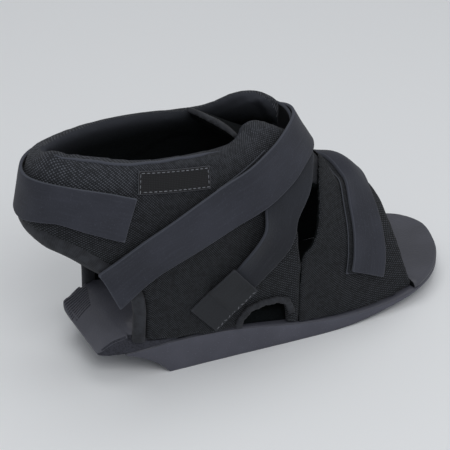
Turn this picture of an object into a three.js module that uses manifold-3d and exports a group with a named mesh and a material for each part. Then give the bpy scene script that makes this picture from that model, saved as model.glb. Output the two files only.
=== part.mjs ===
// Heel relief shoe for one foot. A padded fabric upper stands on a rocker sole that is cut away under
// the heel, so the heel hangs free, and hook-and-loop straps close it over instep and forefoot.
// Millimetres. X runs to the toe from the rear lip of the sole, Y to the far side, Z up from the ground.
import * as THREE from "three";
import { mergeVertices } from "three/addons/utils/BufferGeometryUtils.js";
import Module from "manifold-3d";

const wasm = await Module();
wasm.setup();

// Driving dimensions
const GAP = 0.4;
const QUARTER_WALL = 5;
const VAMP_WALL = 3.2;
const STRAP_WIDTH = 27;
const STRAP_THICKNESS = 1.9;
const STRIP_THICKNESS = 0.8;
const TAB_WIDTH = 25.5;
const TAB_THICKNESS = 1.4;
const LABEL_SIZE = { length: 44.5, height: 13.4 };
const BINDING_RADIUS = 3.2;
const TRIM_WIDTH = 4;
const TRIM_THICKNESS = 1.6;
const SEAM_X = 125.5;
const SOLE_BEVEL = 0.5;
const BED_BEVEL = 1.2;
const BED_EDGE = 1.5;
const CUT_REACH = 120;
const CUT_TOP = 160;

// Heights above the form's skin: strips lie on it, straps on the strips, and a strap over a strap on top
const ON_FORM = 0.6;
const ON_STRIP = 1.9;
const ON_STRAP = 3.7;

// Outer form of the upper, a level section per row: its ends on the middle plane, the station where it
// is widest, the half width there, and how square it is behind and ahead of that station
const FORM = table(["z", "back", "widest", "front", "half", "rearFullness", "toeFullness"], [
  [8, -28, 165, 247, 45.5, 2.5, 2.5],
  [40, -31, 140, 226, 46, 2.4, 2.3],
  [60, -33.5, 118, 211, 46.5, 2.3, 2],
  [75, -33.5, 98, 198, 46.5, 2.2, 1.82],
  [90, -34, 75, 181, 46.5, 2.2, 1.88],
  [105, -33.5, 56, 157.5, 45.5, 2.2, 2],
  [122, -30.5, 44, 145.5, 42.5, 2.2, 2],
  [135, -28.5, 38, 138, 38, 2.05, 2.05],
  [148, -23, 36, 130, 33.5, 1.9, 2.1],
  [160, -19, 36, 122, 30, 1.9, 2.1],
]);

// Sole, a cross section per row: middle, half width, underside, top edge of the outsole, foot of the
// upper and top of the footbed. The toe leans to the inner side of the foot.
const SOLE = table(["x", "middle", "half", "ground", "rim", "foot", "bed"], [
  [0, 0.2, 21.8, 16, 16, 19, 22.5],
  [1.5, 1.6, 25.8, 16.1, 16.1, 19.6, 23.2],
  [6, 4, 31, 16.3, 16.3, 21, 25.4],
  [14, 3.8, 35, 16.5, 17.2, 25.5, 29.5],
  [21, 2, 36, 0, 18.8, 26, 32],
  [28, 0.5, 36.5, 0, 20, 25.3, 33.5],
  [40, 0, 37.4, 0, 21.2, 23.6, 34],
  [60, 0, 39.2, 0, 21.2, 22, 33],
  [80, 0, 41, 0, 19.8, 20.4, 30.5],
  [104, 0, 43.6, 0, 16, 16.6, 25.5],
  [125, 0, 45.6, 0, 11.8, 12.4, 20.5],
  [152, 0, 48, 0, 8.8, 9.4, 16],
  [170, 0, 48.3, 1.7, 8.2, 8.8, 13.8],
  [190, 0.3, 48, 5, 8.5, 9.1, 13.3],
  [206, 0.9, 47, 7.6, 9.9, 10.5, 13.8],
  [220, 2.5, 44, 9.3, 11.6, 12.2, 14.8],
  [234, 5.5, 37.5, 10.3, 12.6, 13.2, 15.5],
  [244, 9, 28.5, 10.7, 13.1, 13.7, 16],
  [250, 11.5, 20, 10.9, 13.3, 13.9, 16.2],
  [255, 13, 6, 11, 13.4, 14, 16.3],
]);
const OUTSOLE_BACK = 14;
// Round hollow in the rear face of the outsole, from the lip down to the ground
const COVE = { x: 6.5, z: -24.1, radius: 41.3 };
// Stretch of the footbed that the upper wraps
const WRAPPED = { from: 15.8, to: 211 };

// Thickness of the cuff wall: plain below, padded towards the rim
const CUFF = table(["z", "wall"], [
  [8, QUARTER_WALL],
  [92, QUARTER_WALL],
  [112, 7],
  [126, 10],
  [160, 10.5],
]);

// Side view lines of the upper: the rim with its front ears, the heel opening's edge, the vamp's edges
const RIM = table(["x", "near", "far"], [
  [-40, 147, 147],
  [-18, 147.5, 146.5],
  [-12, 149.6, 144.3],
  [-4, 149.6, 142.6],
  [4, 148.4, 142],
  [20, 145.5, 141.5],
  [40, 142.4, 141],
  [60, 140, 139.5],
  [80, 138, 136.4],
  [92, 138.6, 135.6],
  [98, 142, 136.8],
  [103, 145, 139],
  [108, 145, 141.8],
  [113, 142.2, 144.4],
  [119, 135.8, 146.4],
  [125, 127, 147],
  [130, 118, 146],
  [136, 108, 139],
]);
const HEEL_EDGE = table(["x", "z"], [
  [17.4, 26.8],
  [17.9, 40],
  [17.6, 50],
  [15.5, 59.5],
  [9.8, 68],
  [2.2, 74.8],
  [-7.5, 82.3],
  [-18.5, 91],
  [-31, 97.5],
]);
const QUARTER_FRONT = table(["x", "z"], [
  [SEAM_X - GAP, 58],
  [124, 70],
  [126, 90],
  [130, 108],
  [135, 122],
  [137, CUT_TOP],
]);
const VAMP_REAR = table(["x", "z"], [
  [SEAM_X + GAP, 56],
  [127.5, 60],
  [131.5, 63],
  [137, 70],
  [140.8, 80],
  [143.5, 88],
  [146.5, 95.5],
  [152.5, 101],
  [168, 101],
]);
const VAMP_FRONT = table(["x", "z"], [
  [199, 80],
  [200.4, 60],
  [201.8, 48],
  [205.4, 29],
  [211, 9],
]);
// Small opening at the sole under the arch of the foot
const ARCH = table(["x", "z"], [
  [83.5, 14],
  [84.8, 23.5],
  [89.5, 30.6],
  [98, 33],
  [107.5, 32.6],
  [113.4, 29.6],
  [116, 21],
  [116.6, 8],
]);

// Tongue, a level section per row: its middle, half width, how far its sides bend back, how far its far
// side lies behind its near side, and its wall
const TONGUE = table(["z", "x", "half", "bow", "skew", "wall"], [
  [84, 182.5, 24, 18.5, 0, 5],
  [92, 173, 25.5, 24, 0, 5],
  [105, 152, 24.5, 22.5, 0, 5],
  [118, 132, 23, 21, 0, 5],
  [128, 113, 22, 14, 2.5, 4.5],
  [137, 91.5, 20.5, 1.5, 5.5, 3],
]);
const TONGUE_LEAN = 0.66;

// Centre lines of the straps on the near side, from the free end or the tab up to the instep
const REAR_RISE = table(["x", "y", "z"], [
  [1.7, -37, 68.2],
  [24.6, -44.7, 86.6],
  [48.3, -48.6, 98.2],
  [73.7, -47.5, 107.3],
  [96.3, -42.7, 113],
  [115, -35.6, 118.2],
  [134, -22, 124.2],
]);
const TAB_RISE = table(["x", "y", "z", "width", "lift"], [
  [80.5, -47.2, 52.5, 17, ON_FORM],
  [88.2, -48, 60, 18.8, 1.4],
  [102.4, -47.5, 78, 23.4, 3.4],
  [112.8, -44.4, 93, 25.8, 1.1],
  [124.8, -36.3, 107, STRAP_WIDTH, ON_FORM],
  [135, -23, 118, STRAP_WIDTH, ON_FORM],
]);
const CREST = { x: 144.5, y: 0, z: 124 };
// Where the straps change layer: the upper one climbs over the other, the lower one leaves its loop strip
const CLIMB = { rear: 85, tab: 70, strip: 100 };
const LOOP_PATCH = { from: 70, near: 120, far: 100 };
// Sewn tab below the strap: flat on the quarter, then stepped up over the strap's root
const TAB_LINE = table(["x", "y", "z", "lift"], [
  [58, -43.6, 33.5, ON_FORM],
  [68.5, -45.4, 42.8, ON_FORM],
  [74, -46.2, 47.6, ON_STRAP],
  [86, -47.5, 57.7, ON_STRAP],
]);
const HEEL_LOOP = table(["x", "y", "z", "width"], [
  [13.6, -42.4, 113.3, STRAP_WIDTH],
  [-2, -37, 118.6, 26.5],
  [-20, -24.5, 122.6, 25.5],
  [-28.5, -12, 123.6, 25],
  [-31, 0, 123.6, 25],
]);
const FOREFOOT_ARCH = table(["x", "y", "z"], [
  [172.6, -47.6, 34.8],
  [176.4, -42.6, 53.5],
  [180.2, -33.5, 69],
  [180, -18, 84.5],
  [178.5, 0, 90.3],
]);
const PEEK = 2.6;
const STRIP_WIDTH = 10;
const LABEL_PLACE = { x: 43.7, z: 130.3, droop: 7 };

// Colours
const COLOURS = {
  rubber: 0x4a4b56,
  foam: 0x3d3c43,
  mesh: 0x222426,
  lining: 0x17191b,
  webbing: 0x33353d,
  loop: 0x2b2d33,
  patch: 0x26282b,
  binding: 0x2d2f33,
};

function table(columns, rows) {
  return rows.map((row) => Object.fromEntries(columns.map((name, index) => [name, row[index]])));
}

// Smooth value of a column where another column has the given value
function along(rows, key, column, at) {
  const last = rows.length - 1;
  const spot = THREE.MathUtils.clamp(at, rows[0][key], rows[last][key]);
  let i = 0;
  while (i < last - 1 && rows[i + 1][key] < spot) i += 1;
  const slope = (k) => {
    const before = rows[Math.max(k - 1, 0)];
    const after = rows[Math.min(k + 1, last)];
    return (after[column] - before[column]) / (after[key] - before[key]);
  };
  const step = rows[i + 1][key] - rows[i][key];
  const t = (spot - rows[i][key]) / step;
  const bend = t * t * (3 - 2 * t);
  const start = t * (1 - t) ** 2 * step * slope(i);
  const end = t * t * (t - 1) * step * slope(i + 1);
  return rows[i][column] * (1 - bend) + rows[i + 1][column] * bend + start + end;
}

function vector(row) {
  return new THREE.Vector3(row.x, row.y, row.z);
}

function mirrored(rows) {
  return rows.map((row) => ({ ...row, y: -row.y }));
}

// Level section of the form, moved outwards by grow
function section(z, grow) {
  const value = (column) => along(FORM, "z", column, z);
  return {
    widest: value("widest"),
    front: value("front") + grow,
    back: value("back") - grow,
    half: value("half") + grow,
    rearFullness: value("rearFullness"),
    toeFullness: value("toeFullness"),
  };
}

function reach(plan, x) {
  return x > plan.widest ? plan.front - plan.widest : plan.widest - plan.back;
}

function fullness(plan, x) {
  return x > plan.widest ? plan.toeFullness : plan.rearFullness;
}

// Point of the form at a turn round the section: 0 at the front, a quarter turn at the far side
function formPoint(turn, z, grow) {
  const plan = section(z, grow);
  const power = 2 / fullness(plan, plan.widest + Math.cos(turn));
  const ahead = Math.sign(Math.cos(turn)) * Math.abs(Math.cos(turn)) ** power;
  const aside = Math.sign(Math.sin(turn)) * Math.abs(Math.sin(turn)) ** power;
  const x = plan.widest + ahead * reach(plan, plan.widest + ahead);
  return new THREE.Vector3(x, aside * plan.half, z);
}

function halfWidthAt(x, z, grow) {
  const plan = section(z, grow);
  const share = Math.min(1, Math.abs(x - plan.widest) / reach(plan, x));
  const power = fullness(plan, x);
  return plan.half * (1 - share ** power) ** (1 / power);
}

// How far out a point is: 1 on the form
function formLevel(point, grow) {
  const plan = section(point.z, grow);
  const ahead = Math.abs(point.x - plan.widest) / reach(plan, point.x);
  const aside = Math.abs(point.y) / plan.half;
  const power = fullness(plan, point.x);
  return (ahead ** power + aside ** power) ** (1 / power);
}

// The point brought level onto the form
function onForm(point, grow) {
  const level = formLevel(point, grow);
  const { widest } = section(point.z, grow);
  return new THREE.Vector3(widest + (point.x - widest) / level, point.y / level, point.z);
}

function formNormal(point) {
  const probe = 0.5;
  const change = ["x", "y", "z"].map((axis) => {
    const ahead = point.clone();
    const behind = point.clone();
    ahead[axis] += probe;
    behind[axis] -= probe;
    return formLevel(ahead, 0) - formLevel(behind, 0);
  });
  return new THREE.Vector3(...change).normalize();
}

// Height of the form's front line over a station
function crestHeight(x, grow) {
  let low = FORM[0].z;
  let high = FORM[FORM.length - 1].z;
  for (let halving = 0; halving < 30; halving += 1) {
    const middle = (low + high) / 2;
    if (section(middle, grow).front > x) low = middle;
    else high = middle;
  }
  return low;
}

function facingOut(geometry) {
  const index = geometry.index.array;
  const place = geometry.attributes.position;
  const corner = (i) => new THREE.Vector3().fromBufferAttribute(place, index[i]);
  let volume = 0;
  for (let i = 0; i < index.length; i += 3) {
    volume += corner(i).dot(corner(i + 1).cross(corner(i + 2)));
  }
  if (volume < 0) {
    for (let i = 0; i < index.length; i += 3) [index[i], index[i + 1]] = [index[i + 1], index[i]];
  }
  return geometry;
}

// Closed solid through rings of equal count. A ring lists one skin forwards and the other backwards,
// so that the end faces of an open loft are strips between the two skins.
function loft(rings, closed = false) {
  const count = rings[0].length;
  const faces = [];
  const spans = closed ? rings.length : rings.length - 1;
  for (let i = 0; i < spans; i += 1) {
    const here = i * count;
    const next = ((i + 1) % rings.length) * count;
    for (let j = 0; j < count; j += 1) {
      const k = (j + 1) % count;
      faces.push(here + j, next + j, next + k, here + j, next + k, here + k);
    }
  }
  const end = (rings.length - 1) * count;
  for (let j = 0; !closed && j < count / 2 - 1; j += 1) {
    const [a, b, c, d] = [j, j + 1, count - 2 - j, count - 1 - j];
    faces.push(a, b, c, a, c, d);
    faces.push(end + a, end + c, end + b, end + a, end + d, end + c);
  }
  const places = rings.flat().flatMap((point) => [point.x, point.y, point.z]);
  const geometry = new THREE.BufferGeometry();
  geometry.setAttribute("position", new THREE.Float32BufferAttribute(places, 3));
  geometry.setIndex(faces);
  return facingOut(geometry);
}

function solidOf(geometry) {
  geometry.deleteAttribute("normal");
  geometry.deleteAttribute("uv");
  const merged = mergeVertices(geometry, 1e-3);
  return new wasm.Manifold(new wasm.Mesh({
    numProp: 3,
    vertProperties: new Float32Array(merged.attributes.position.array),
    triVerts: new Uint32Array(merged.index.array),
  }));
}

function geometryOf(solid) {
  const { vertProperties, triVerts } = solid.getMesh();
  const geometry = new THREE.BufferGeometry();
  geometry.setAttribute("position", new THREE.BufferAttribute(vertProperties, 3));
  geometry.setIndex(new THREE.BufferAttribute(triVerts, 1));
  return geometry;
}

// Prism of a side view outline, right across the shoe
function sidePrism(outline) {
  const shape = new THREE.Shape(outline.map((row) => new THREE.Vector2(row.x, row.z)));
  const prism = new THREE.ExtrudeGeometry(shape, { depth: CUT_REACH, bevelEnabled: false });
  prism.rotateX(Math.PI / 2);
  prism.translate(0, CUT_REACH / 2, 0);
  return solidOf(prism);
}

function kept(geometry, outline) {
  return geometryOf(solidOf(geometry).intersect(sidePrism(outline)));
}

// Smooth run of side view points, moved sideways to its left by a distance
function smoothLine(rows, steps, aside = 0) {
  const curve = new THREE.SplineCurve(rows.map((row) => new THREE.Vector2(row.x, row.z)));
  return Array.from({ length: steps + 1 }, (_, i) => {
    const point = curve.getPoint(i / steps);
    const tangent = curve.getTangent(i / steps);
    return { x: point.x - tangent.y * aside, z: point.y + tangent.x * aside };
  });
}

function soleLine(from, to, steps) {
  return Array.from({ length: steps + 1 }, (_, i) => {
    const x = THREE.MathUtils.lerp(from, to, i / steps);
    return { x, z: along(SOLE, "x", "foot", x) };
  });
}

function aboveSole(rows, clearance) {
  return rows.filter((row) => row.z > along(SOLE, "x", "foot", row.x) + clearance);
}

// Outsole and footbed, cross sections from back to front: a wide slab with a narrower block on its ledge
function soleBlock(stations, sides) {
  return loft(stations.map((x) => {
    const { wide, narrow, low, ledge, high, ease } = sides(x);
    const middle = along(SOLE, "x", "middle", x);
    const across = (y, z) => new THREE.Vector3(x, middle + y, z);
    const top = narrow - ease;
    const under = [-wide, -narrow, -top, top, narrow, wide].map((y) => across(y, low));
    return [
      ...under,
      across(wide, ledge), across(narrow, ledge), across(top, high),
      across(-top, high), across(-narrow, ledge), across(-wide, ledge),
    ];
  }));
}

function coveHeight(x) {
  const run = Math.max(0, x - COVE.x);
  return run < COVE.radius ? COVE.z + Math.sqrt(COVE.radius ** 2 - run ** 2) : 0;
}

function outsole() {
  const coveSteps = 8;
  const coveEnd = COVE.x + Math.sqrt(COVE.radius ** 2 - COVE.z ** 2);
  const hollow = Array.from({ length: coveSteps + 1 }, (_, i) => (
    OUTSOLE_BACK + (coveEnd - OUTSOLE_BACK) * Math.sin((i / coveSteps) * Math.PI / 2)
  ));
  const ahead = SOLE.map((row) => row.x).filter((x) => x > coveEnd + 1);
  return soleBlock([...hollow, ...ahead], (x) => {
    const half = along(SOLE, "x", "half", x);
    const low = Math.max(0, x > coveEnd ? along(SOLE, "x", "ground", x) : coveHeight(x));
    const high = along(SOLE, "x", "rim", x);
    const narrow = half - SOLE_BEVEL;
    return { wide: half, narrow, low, ledge: high - SOLE_BEVEL, high, ease: SOLE_BEVEL };
  });
}

function footbed() {
  const leastSlab = 1;
  const leastStep = 0.3;
  const edges = [WRAPPED.from - BED_BEVEL, WRAPPED.from, WRAPPED.to, WRAPPED.to + BED_BEVEL];
  const stations = [...SOLE.map((row) => row.x), ...edges];
  stations.sort((a, b) => a - b);
  const clear = QUARTER_WALL / 2 + BINDING_RADIUS + GAP;
  return soleBlock([...new Set(stations)], (x) => {
    const half = along(SOLE, "x", "half", x);
    const low = along(SOLE, "x", "rim", x) + (x < OUTSOLE_BACK - BED_BEVEL ? 0 : GAP);
    const high = along(SOLE, "x", "bed", x);
    const slab = along(SOLE, "x", "foot", x) - GAP;
    const wrapped = x >= WRAPPED.from && x <= WRAPPED.to;
    const middle = along(SOLE, "x", "middle", x);
    const inside = halfWidthAt(x, slab, -clear) - Math.abs(middle);
    const narrow = wrapped ? inside : half - SOLE_BEVEL;
    const covered = wrapped && slab - low < leastSlab;
    const wide = covered ? narrow + leastStep : half;
    const ledge = wrapped ? Math.max(slab, low + leastStep) : high - BED_EDGE;
    return { wide, narrow, low, ledge, high, ease: BED_BEVEL };
  });
}

// Quarters and cuff: a ring of wall sections with a rolled rim, cut to its side view
function rearUpper() {
  const base = 4;
  const rimLevel = 140;
  const ringCount = 76;
  const wallSteps = 9;
  const rollSteps = 6;
  const wallSection = (turn) => {
    const station = formPoint(turn, rimLevel, -QUARTER_WALL).x;
    const rim = along(RIM, "x", turn < Math.PI ? "far" : "near", station);
    const roll = along(CUFF, "z", "wall", rim) / 2;
    const height = (k) => base + (rim - roll - base) * (k / wallSteps);
    const outer = [];
    const inner = [];
    for (let k = 0; k <= wallSteps; k += 1) {
      outer.push(formPoint(turn, height(k), 0));
      inner.unshift(formPoint(turn, height(k), -along(CUFF, "z", "wall", height(k))));
    }
    const rolled = [];
    for (let k = 1; k < rollSteps; k += 1) {
      const angle = (Math.PI * k) / rollSteps;
      rolled.push(formPoint(turn, rim - roll + roll * Math.sin(angle), roll * (Math.cos(angle) - 1)));
    }
    return [...outer, ...rolled, ...inner];
  };
  const rings = Array.from({ length: ringCount }, (_, i) => wallSection((i / ringCount) * 2 * Math.PI));
  const bound = 2 * BINDING_RADIUS + 2 * GAP;
  const outline = [
    ...soleLine(HEEL_EDGE[0].x + bound, ARCH[0].x, 8),
    ...aboveSole(smoothLine(ARCH, 16), 2 * GAP),
    ...soleLine(ARCH[ARCH.length - 1].x, SEAM_X - GAP, 1),
    ...smoothLine(QUARTER_FRONT, 10),
    { x: -CUT_REACH, z: CUT_TOP },
    { x: -CUT_REACH, z: HEEL_EDGE[HEEL_EDGE.length - 1].z + bound },
    ...aboveSole(smoothLine(HEEL_EDGE, 24, -bound).reverse(), 2 * GAP),
  ];
  return kept(loft(rings, true), outline);
}

// Bound edge of the heel opening, a bead from the near sole round the back to the far sole
function heelBinding() {
  const sides = 8;
  const steps = 56;
  const edge = smoothLine(HEEL_EDGE, 16, -BINDING_RADIUS);
  const near = edge.map((row) => ({ ...row, y: -halfWidthAt(row.x, row.z, -QUARTER_WALL / 2) }));
  near[near.length - 1].y = 0;
  const back = near.pop();
  const path = new THREE.CatmullRomCurve3([...near, back, ...mirrored(near).reverse()].map(vector));
  const rings = Array.from({ length: steps + 1 }, (_, i) => {
    const centre = path.getPoint(i / steps);
    const ahead = path.getTangent(i / steps);
    const out = formNormal(centre).projectOnPlane(ahead).normalize();
    const up = new THREE.Vector3().crossVectors(ahead, out);
    return Array.from({ length: sides }, (_unused, k) => {
      const angle = ((k + 0.5) / sides) * 2 * Math.PI;
      const spoke = out.clone().multiplyScalar(Math.cos(angle)).addScaledVector(up, Math.sin(angle));
      return centre.clone().addScaledVector(spoke, BINDING_RADIUS);
    });
  });
  return loft(rings);
}

// Forefoot cover: arches from sole to sole, cut to its side view
function vamp() {
  const base = 4;
  const stations = 15;
  const sideSteps = 10;
  const from = SEAM_X - 3;
  const to = VAMP_FRONT[VAMP_FRONT.length - 1].x + 3;
  const skin = (x, grow) => {
    const top = crestHeight(x, grow);
    return Array.from({ length: 2 * sideSteps + 1 }, (_, i) => {
      const turn = (1 - Math.abs(i - sideSteps) / sideSteps) * (Math.PI / 2);
      const z = base + (top - base) * Math.sin(turn);
      const y = i === sideSteps ? 0 : Math.sign(i - sideSteps) * halfWidthAt(x, z, grow);
      return new THREE.Vector3(x, y, z);
    });
  };
  const arches = Array.from({ length: stations }, (_, i) => {
    const x = THREE.MathUtils.lerp(from, to, i / (stations - 1));
    return [...skin(x, 0), ...skin(x, -VAMP_WALL).reverse()];
  });
  const outline = [
    ...soleLine(SEAM_X + GAP, VAMP_FRONT[VAMP_FRONT.length - 1].x, 6),
    ...aboveSole(smoothLine(VAMP_FRONT, 8).reverse(), 2 * GAP),
    { x: VAMP_FRONT[0].x, z: CUT_TOP },
    { x: VAMP_REAR[VAMP_REAR.length - 1].x, z: CUT_TOP },
    ...smoothLine(VAMP_REAR, 16).reverse(),
  ];
  return kept(loft(arches), outline);
}

function tongue() {
  const across = 10;
  const lean = new THREE.Vector3(-TONGUE_LEAN, 0, -Math.sqrt(1 - TONGUE_LEAN ** 2));
  const rows = 9;
  const low = TONGUE[0].z;
  const high = TONGUE[TONGUE.length - 1].z;
  return loft(Array.from({ length: rows + 1 }, (_, i) => {
    const z = THREE.MathUtils.lerp(low, high, i / rows);
    const at = (column) => along(TONGUE, "z", column, z);
    const front = Array.from({ length: across + 1 }, (_unused, k) => {
      const share = (2 * k) / across - 1;
      const x = at("x") - at("skew") * share - at("bow") * share ** 2;
      return new THREE.Vector3(x, at("half") * share, z);
    });
    const back = front.map((point) => point.clone().addScaledVector(lean, at("wall")));
    return [...front, ...back.reverse()];
  }));
}

// Flat piece laid on the form along a centre line: rows hold place, width and lift off the form
function laidBand(rows, thickness, steps, aside = 0) {
  const strands = 4;
  const path = new THREE.CatmullRomCurve3(rows.map(vector), false, "centripetal");
  const numbered = rows.map((row, index) => ({ ...row, index }));
  return loft(Array.from({ length: steps + 1 }, (_, i) => {
    const share = i / steps;
    const at = (column) => along(numbered, "index", column, share * (rows.length - 1));
    const centre = path.getPoint(share);
    const side = new THREE.Vector3().crossVectors(formNormal(centre), path.getTangent(share)).normalize();
    const strand = (k) => (k / (strands - 1) - 0.5) * at("width") + aside;
    const skin = (grow) => Array.from({ length: strands }, (_unused, k) => (
      onForm(centre.clone().addScaledVector(side, strand(k)), grow)
    ));
    return [...skin(at("lift") + thickness), ...skin(at("lift")).reverse()];
  }));
}

// Rows with a width and a lift, each a number or a function of the row
function withBand(rows, width, lift) {
  return rows.map((row) => ({
    ...row,
    width: typeof width === "function" ? width(row) : width,
    lift: typeof lift === "function" ? lift(row) : lift,
  }));
}

// The strap from the near rear quarter crosses over the other one at the instep
function instepStrap(over) {
  const rearLift = over
    ? (row) => (row.x > CLIMB.rear ? ON_STRAP : ON_STRIP)
    : (row) => (row.x > CLIMB.strip ? ON_FORM : ON_STRIP);
  const tabLift = (row) => (over && row.z > CLIMB.tab ? ON_STRAP : row.lift);
  const rear = withBand(REAR_RISE, STRAP_WIDTH, rearLift);
  const tab = withBand(TAB_RISE, (row) => row.width, tabLift);
  const crest = withBand([CREST], STRAP_WIDTH, over ? ON_STRAP : ON_FORM);
  const rows = over
    ? [...rear, ...crest, ...mirrored(tab).reverse()]
    : [...tab, ...crest, ...mirrored(rear).reverse()];
  return laidBand(rows, STRAP_THICKNESS, 44);
}

function strapTab(side) {
  const rows = withBand(TAB_LINE, TAB_WIDTH, (row) => row.lift);
  return laidBand(side < 0 ? rows : mirrored(rows), TAB_THICKNESS, 8);
}

// Loop strip that shows along the upper edge of the strap over it
function loopPatch(side) {
  const end = side < 0 ? LOOP_PATCH.near : LOOP_PATCH.far;
  const visible = REAR_RISE.filter((row) => row.x > LOOP_PATCH.from && row.x < end);
  const rows = withBand(visible, STRIP_WIDTH, ON_FORM);
  const aside = (STRAP_WIDTH - STRIP_WIDTH) / 2 + PEEK;
  return laidBand(side < 0 ? rows : mirrored(rows), STRIP_THICKNESS, 10, -side * aside);
}

function heelStrap() {
  const near = withBand(HEEL_LOOP, (row) => row.width, ON_FORM);
  return laidBand([...near, ...mirrored(near.slice(0, -1)).reverse()], STRAP_THICKNESS, 36);
}

function forefootBand(thickness, lift, aside) {
  const near = withBand(FOREFOOT_ARCH, STRAP_WIDTH, lift);
  return laidBand([...near, ...mirrored(near.slice(0, -1)).reverse()], thickness, 32, aside);
}

function labelPatch() {
  const steps = 8;
  const rows = Array.from({ length: steps + 1 }, (_, i) => {
    const share = i / steps - 0.5;
    const x = LABEL_PLACE.x + share * LABEL_SIZE.length;
    const z = LABEL_PLACE.z - share * LABEL_PLACE.droop;
    return { x, y: -halfWidthAt(x, z, ON_FORM), z };
  });
  return laidBand(withBand(rows, LABEL_SIZE.height, ON_FORM), STRIP_THICKNESS, steps);
}

// Bound edge over the arch opening, on the outside of the quarter
function archTrim(side) {
  const line = smoothLine(ARCH, 18, TRIM_WIDTH / 2 + GAP);
  const rows = aboveSole(line, TRIM_WIDTH / 2).map((row) => ({
    ...row,
    y: side * halfWidthAt(row.x, row.z, 0),
  }));
  return laidBand(withBand(rows, TRIM_WIDTH, ON_FORM), TRIM_THICKNESS, 12);
}

const shoe = new THREE.Group();

function addPiece(name, geometry, colour, roughness) {
  const material = new THREE.MeshStandardMaterial({ color: COLOURS[colour], roughness, metalness: 0 });
  const mesh = new THREE.Mesh(geometry, material);
  mesh.name = name;
  shoe.add(mesh);
}

addPiece("outsole", outsole(), "rubber", 0.7);
addPiece("footbed", footbed(), "foam", 0.85);
addPiece("rear_upper", rearUpper(), "mesh", 0.95);
addPiece("heel_binding", heelBinding(), "binding", 0.9);
addPiece("vamp", vamp(), "mesh", 0.95);
addPiece("tongue", tongue(), "lining", 0.95);
addPiece("heel_strap", heelStrap(), "webbing", 0.9);
addPiece("instep_strap_near", instepStrap(true), "webbing", 0.9);
addPiece("instep_strap_far", instepStrap(false), "webbing", 0.9);
addPiece("forefoot_strap", forefootBand(STRAP_THICKNESS, ON_STRIP, 0), "webbing", 0.9);
addPiece("forefoot_loop_strip", forefootBand(STRIP_THICKNESS, ON_FORM, PEEK), "loop", 0.95);
addPiece("label_patch", labelPatch(), "patch", 0.9);
for (const [name, side] of [["near", -1], ["far", 1]]) {
  addPiece(`strap_tab_${name}`, strapTab(side), "webbing", 0.9);
  addPiece(`loop_patch_${name}`, loopPatch(side), "loop", 0.95);
  addPiece(`arch_trim_${name}`, archTrim(side), "binding", 0.9);
}

// The origin is the middle of the ground under the shoe's box
const box = new THREE.Box3().setFromObject(shoe);
const middle = box.getCenter(new THREE.Vector3());
shoe.position.set(-middle.x, -middle.y, -box.min.z);

export default shoe;
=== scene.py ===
# %% [markdown]
# # A heel relief shoe, dressed over its solid model
# The shoe is a padded mesh upper on a rocker sole that is cut away under the heel. Hook-and-loop
# straps close it. The solid model gives every place and size, so the first step loads it as a fixed
# frame and keeps its box.

# %% Load the solid model
import math
from contextlib import contextmanager

import bpy
import numpy as np
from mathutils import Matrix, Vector
from mathutils.bvhtree import BVHTree


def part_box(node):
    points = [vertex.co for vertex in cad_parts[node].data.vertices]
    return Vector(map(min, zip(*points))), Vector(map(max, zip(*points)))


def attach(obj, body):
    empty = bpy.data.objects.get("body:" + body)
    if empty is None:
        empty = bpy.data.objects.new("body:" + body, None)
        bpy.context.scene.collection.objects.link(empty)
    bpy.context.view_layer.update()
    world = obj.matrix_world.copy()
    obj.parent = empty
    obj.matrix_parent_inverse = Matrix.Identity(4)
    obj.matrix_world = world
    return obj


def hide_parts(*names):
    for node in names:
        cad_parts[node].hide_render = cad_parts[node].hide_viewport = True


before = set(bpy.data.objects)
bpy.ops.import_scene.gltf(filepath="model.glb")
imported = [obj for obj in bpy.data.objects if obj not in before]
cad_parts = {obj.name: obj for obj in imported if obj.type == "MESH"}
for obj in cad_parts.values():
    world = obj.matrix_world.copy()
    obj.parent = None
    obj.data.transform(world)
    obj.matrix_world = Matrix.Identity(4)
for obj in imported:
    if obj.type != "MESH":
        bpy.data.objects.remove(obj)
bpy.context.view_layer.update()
print("solid model:", sorted(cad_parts))

# %% [markdown]
# ## One way to give places
# A shoemaker reads this shoe from the rear lip of the sole: X to the toe, Y to the far side, Z up,
# in millimetres. The model is in metres round the middle of the shoe. Two short functions go from
# one to the other, so that every size below can be written as it is on the real shoe.

# %% Reading frame
MM = 0.001
upper_low, upper_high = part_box("rear_upper")
LIP = np.array((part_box("footbed")[0].x, (upper_low.y + upper_high.y) / 2, 0.0))


def in_model(points):
    return LIP + np.asarray(points, float) * MM


def in_shoe(points):
    return (np.asarray(points, float) - LIP) / MM


print("rear lip of the sole at", LIP.round(4))

# %% [markdown]
# ## The form that the upper is made on
# Uppers are pulled over a form. Here it is a stack of level sections, each a rounded oval given by
# its ends, its widest station, its half width and how square it is. Straps, tapes and patches lie on
# the same form, so all of them are placed by asking it where its skin is.

# %% Form of the upper


def table(columns, rows):
    return [dict(zip(columns, row)) for row in rows]


FORM = table(("z", "back", "widest", "front", "half", "rear_fullness", "toe_fullness"), (
    (8, -28, 165, 247, 45.5, 2.5, 2.5),
    (40, -31, 140, 226, 46, 2.4, 2.3),
    (60, -33.5, 118, 211, 46.5, 2.3, 2),
    (75, -33.5, 98, 198, 46.5, 2.2, 1.82),
    (90, -34, 75, 181, 46.5, 2.2, 1.88),
    (105, -33.5, 56, 157.5, 45.5, 2.2, 2),
    (122, -30.5, 44, 145.5, 42.5, 2.2, 2),
    (135, -28.5, 38, 138, 38, 2.05, 2.05),
    (148, -23, 36, 130, 33.5, 1.9, 2.1),
    (160, -19, 36, 122, 30, 1.9, 2.1),
))


def eased(share):
    """A share of a way, kept from 0 to 1 and slowed at both ends."""
    share = np.clip(share, 0, 1)
    return share * share * (3 - 2 * share)


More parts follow.
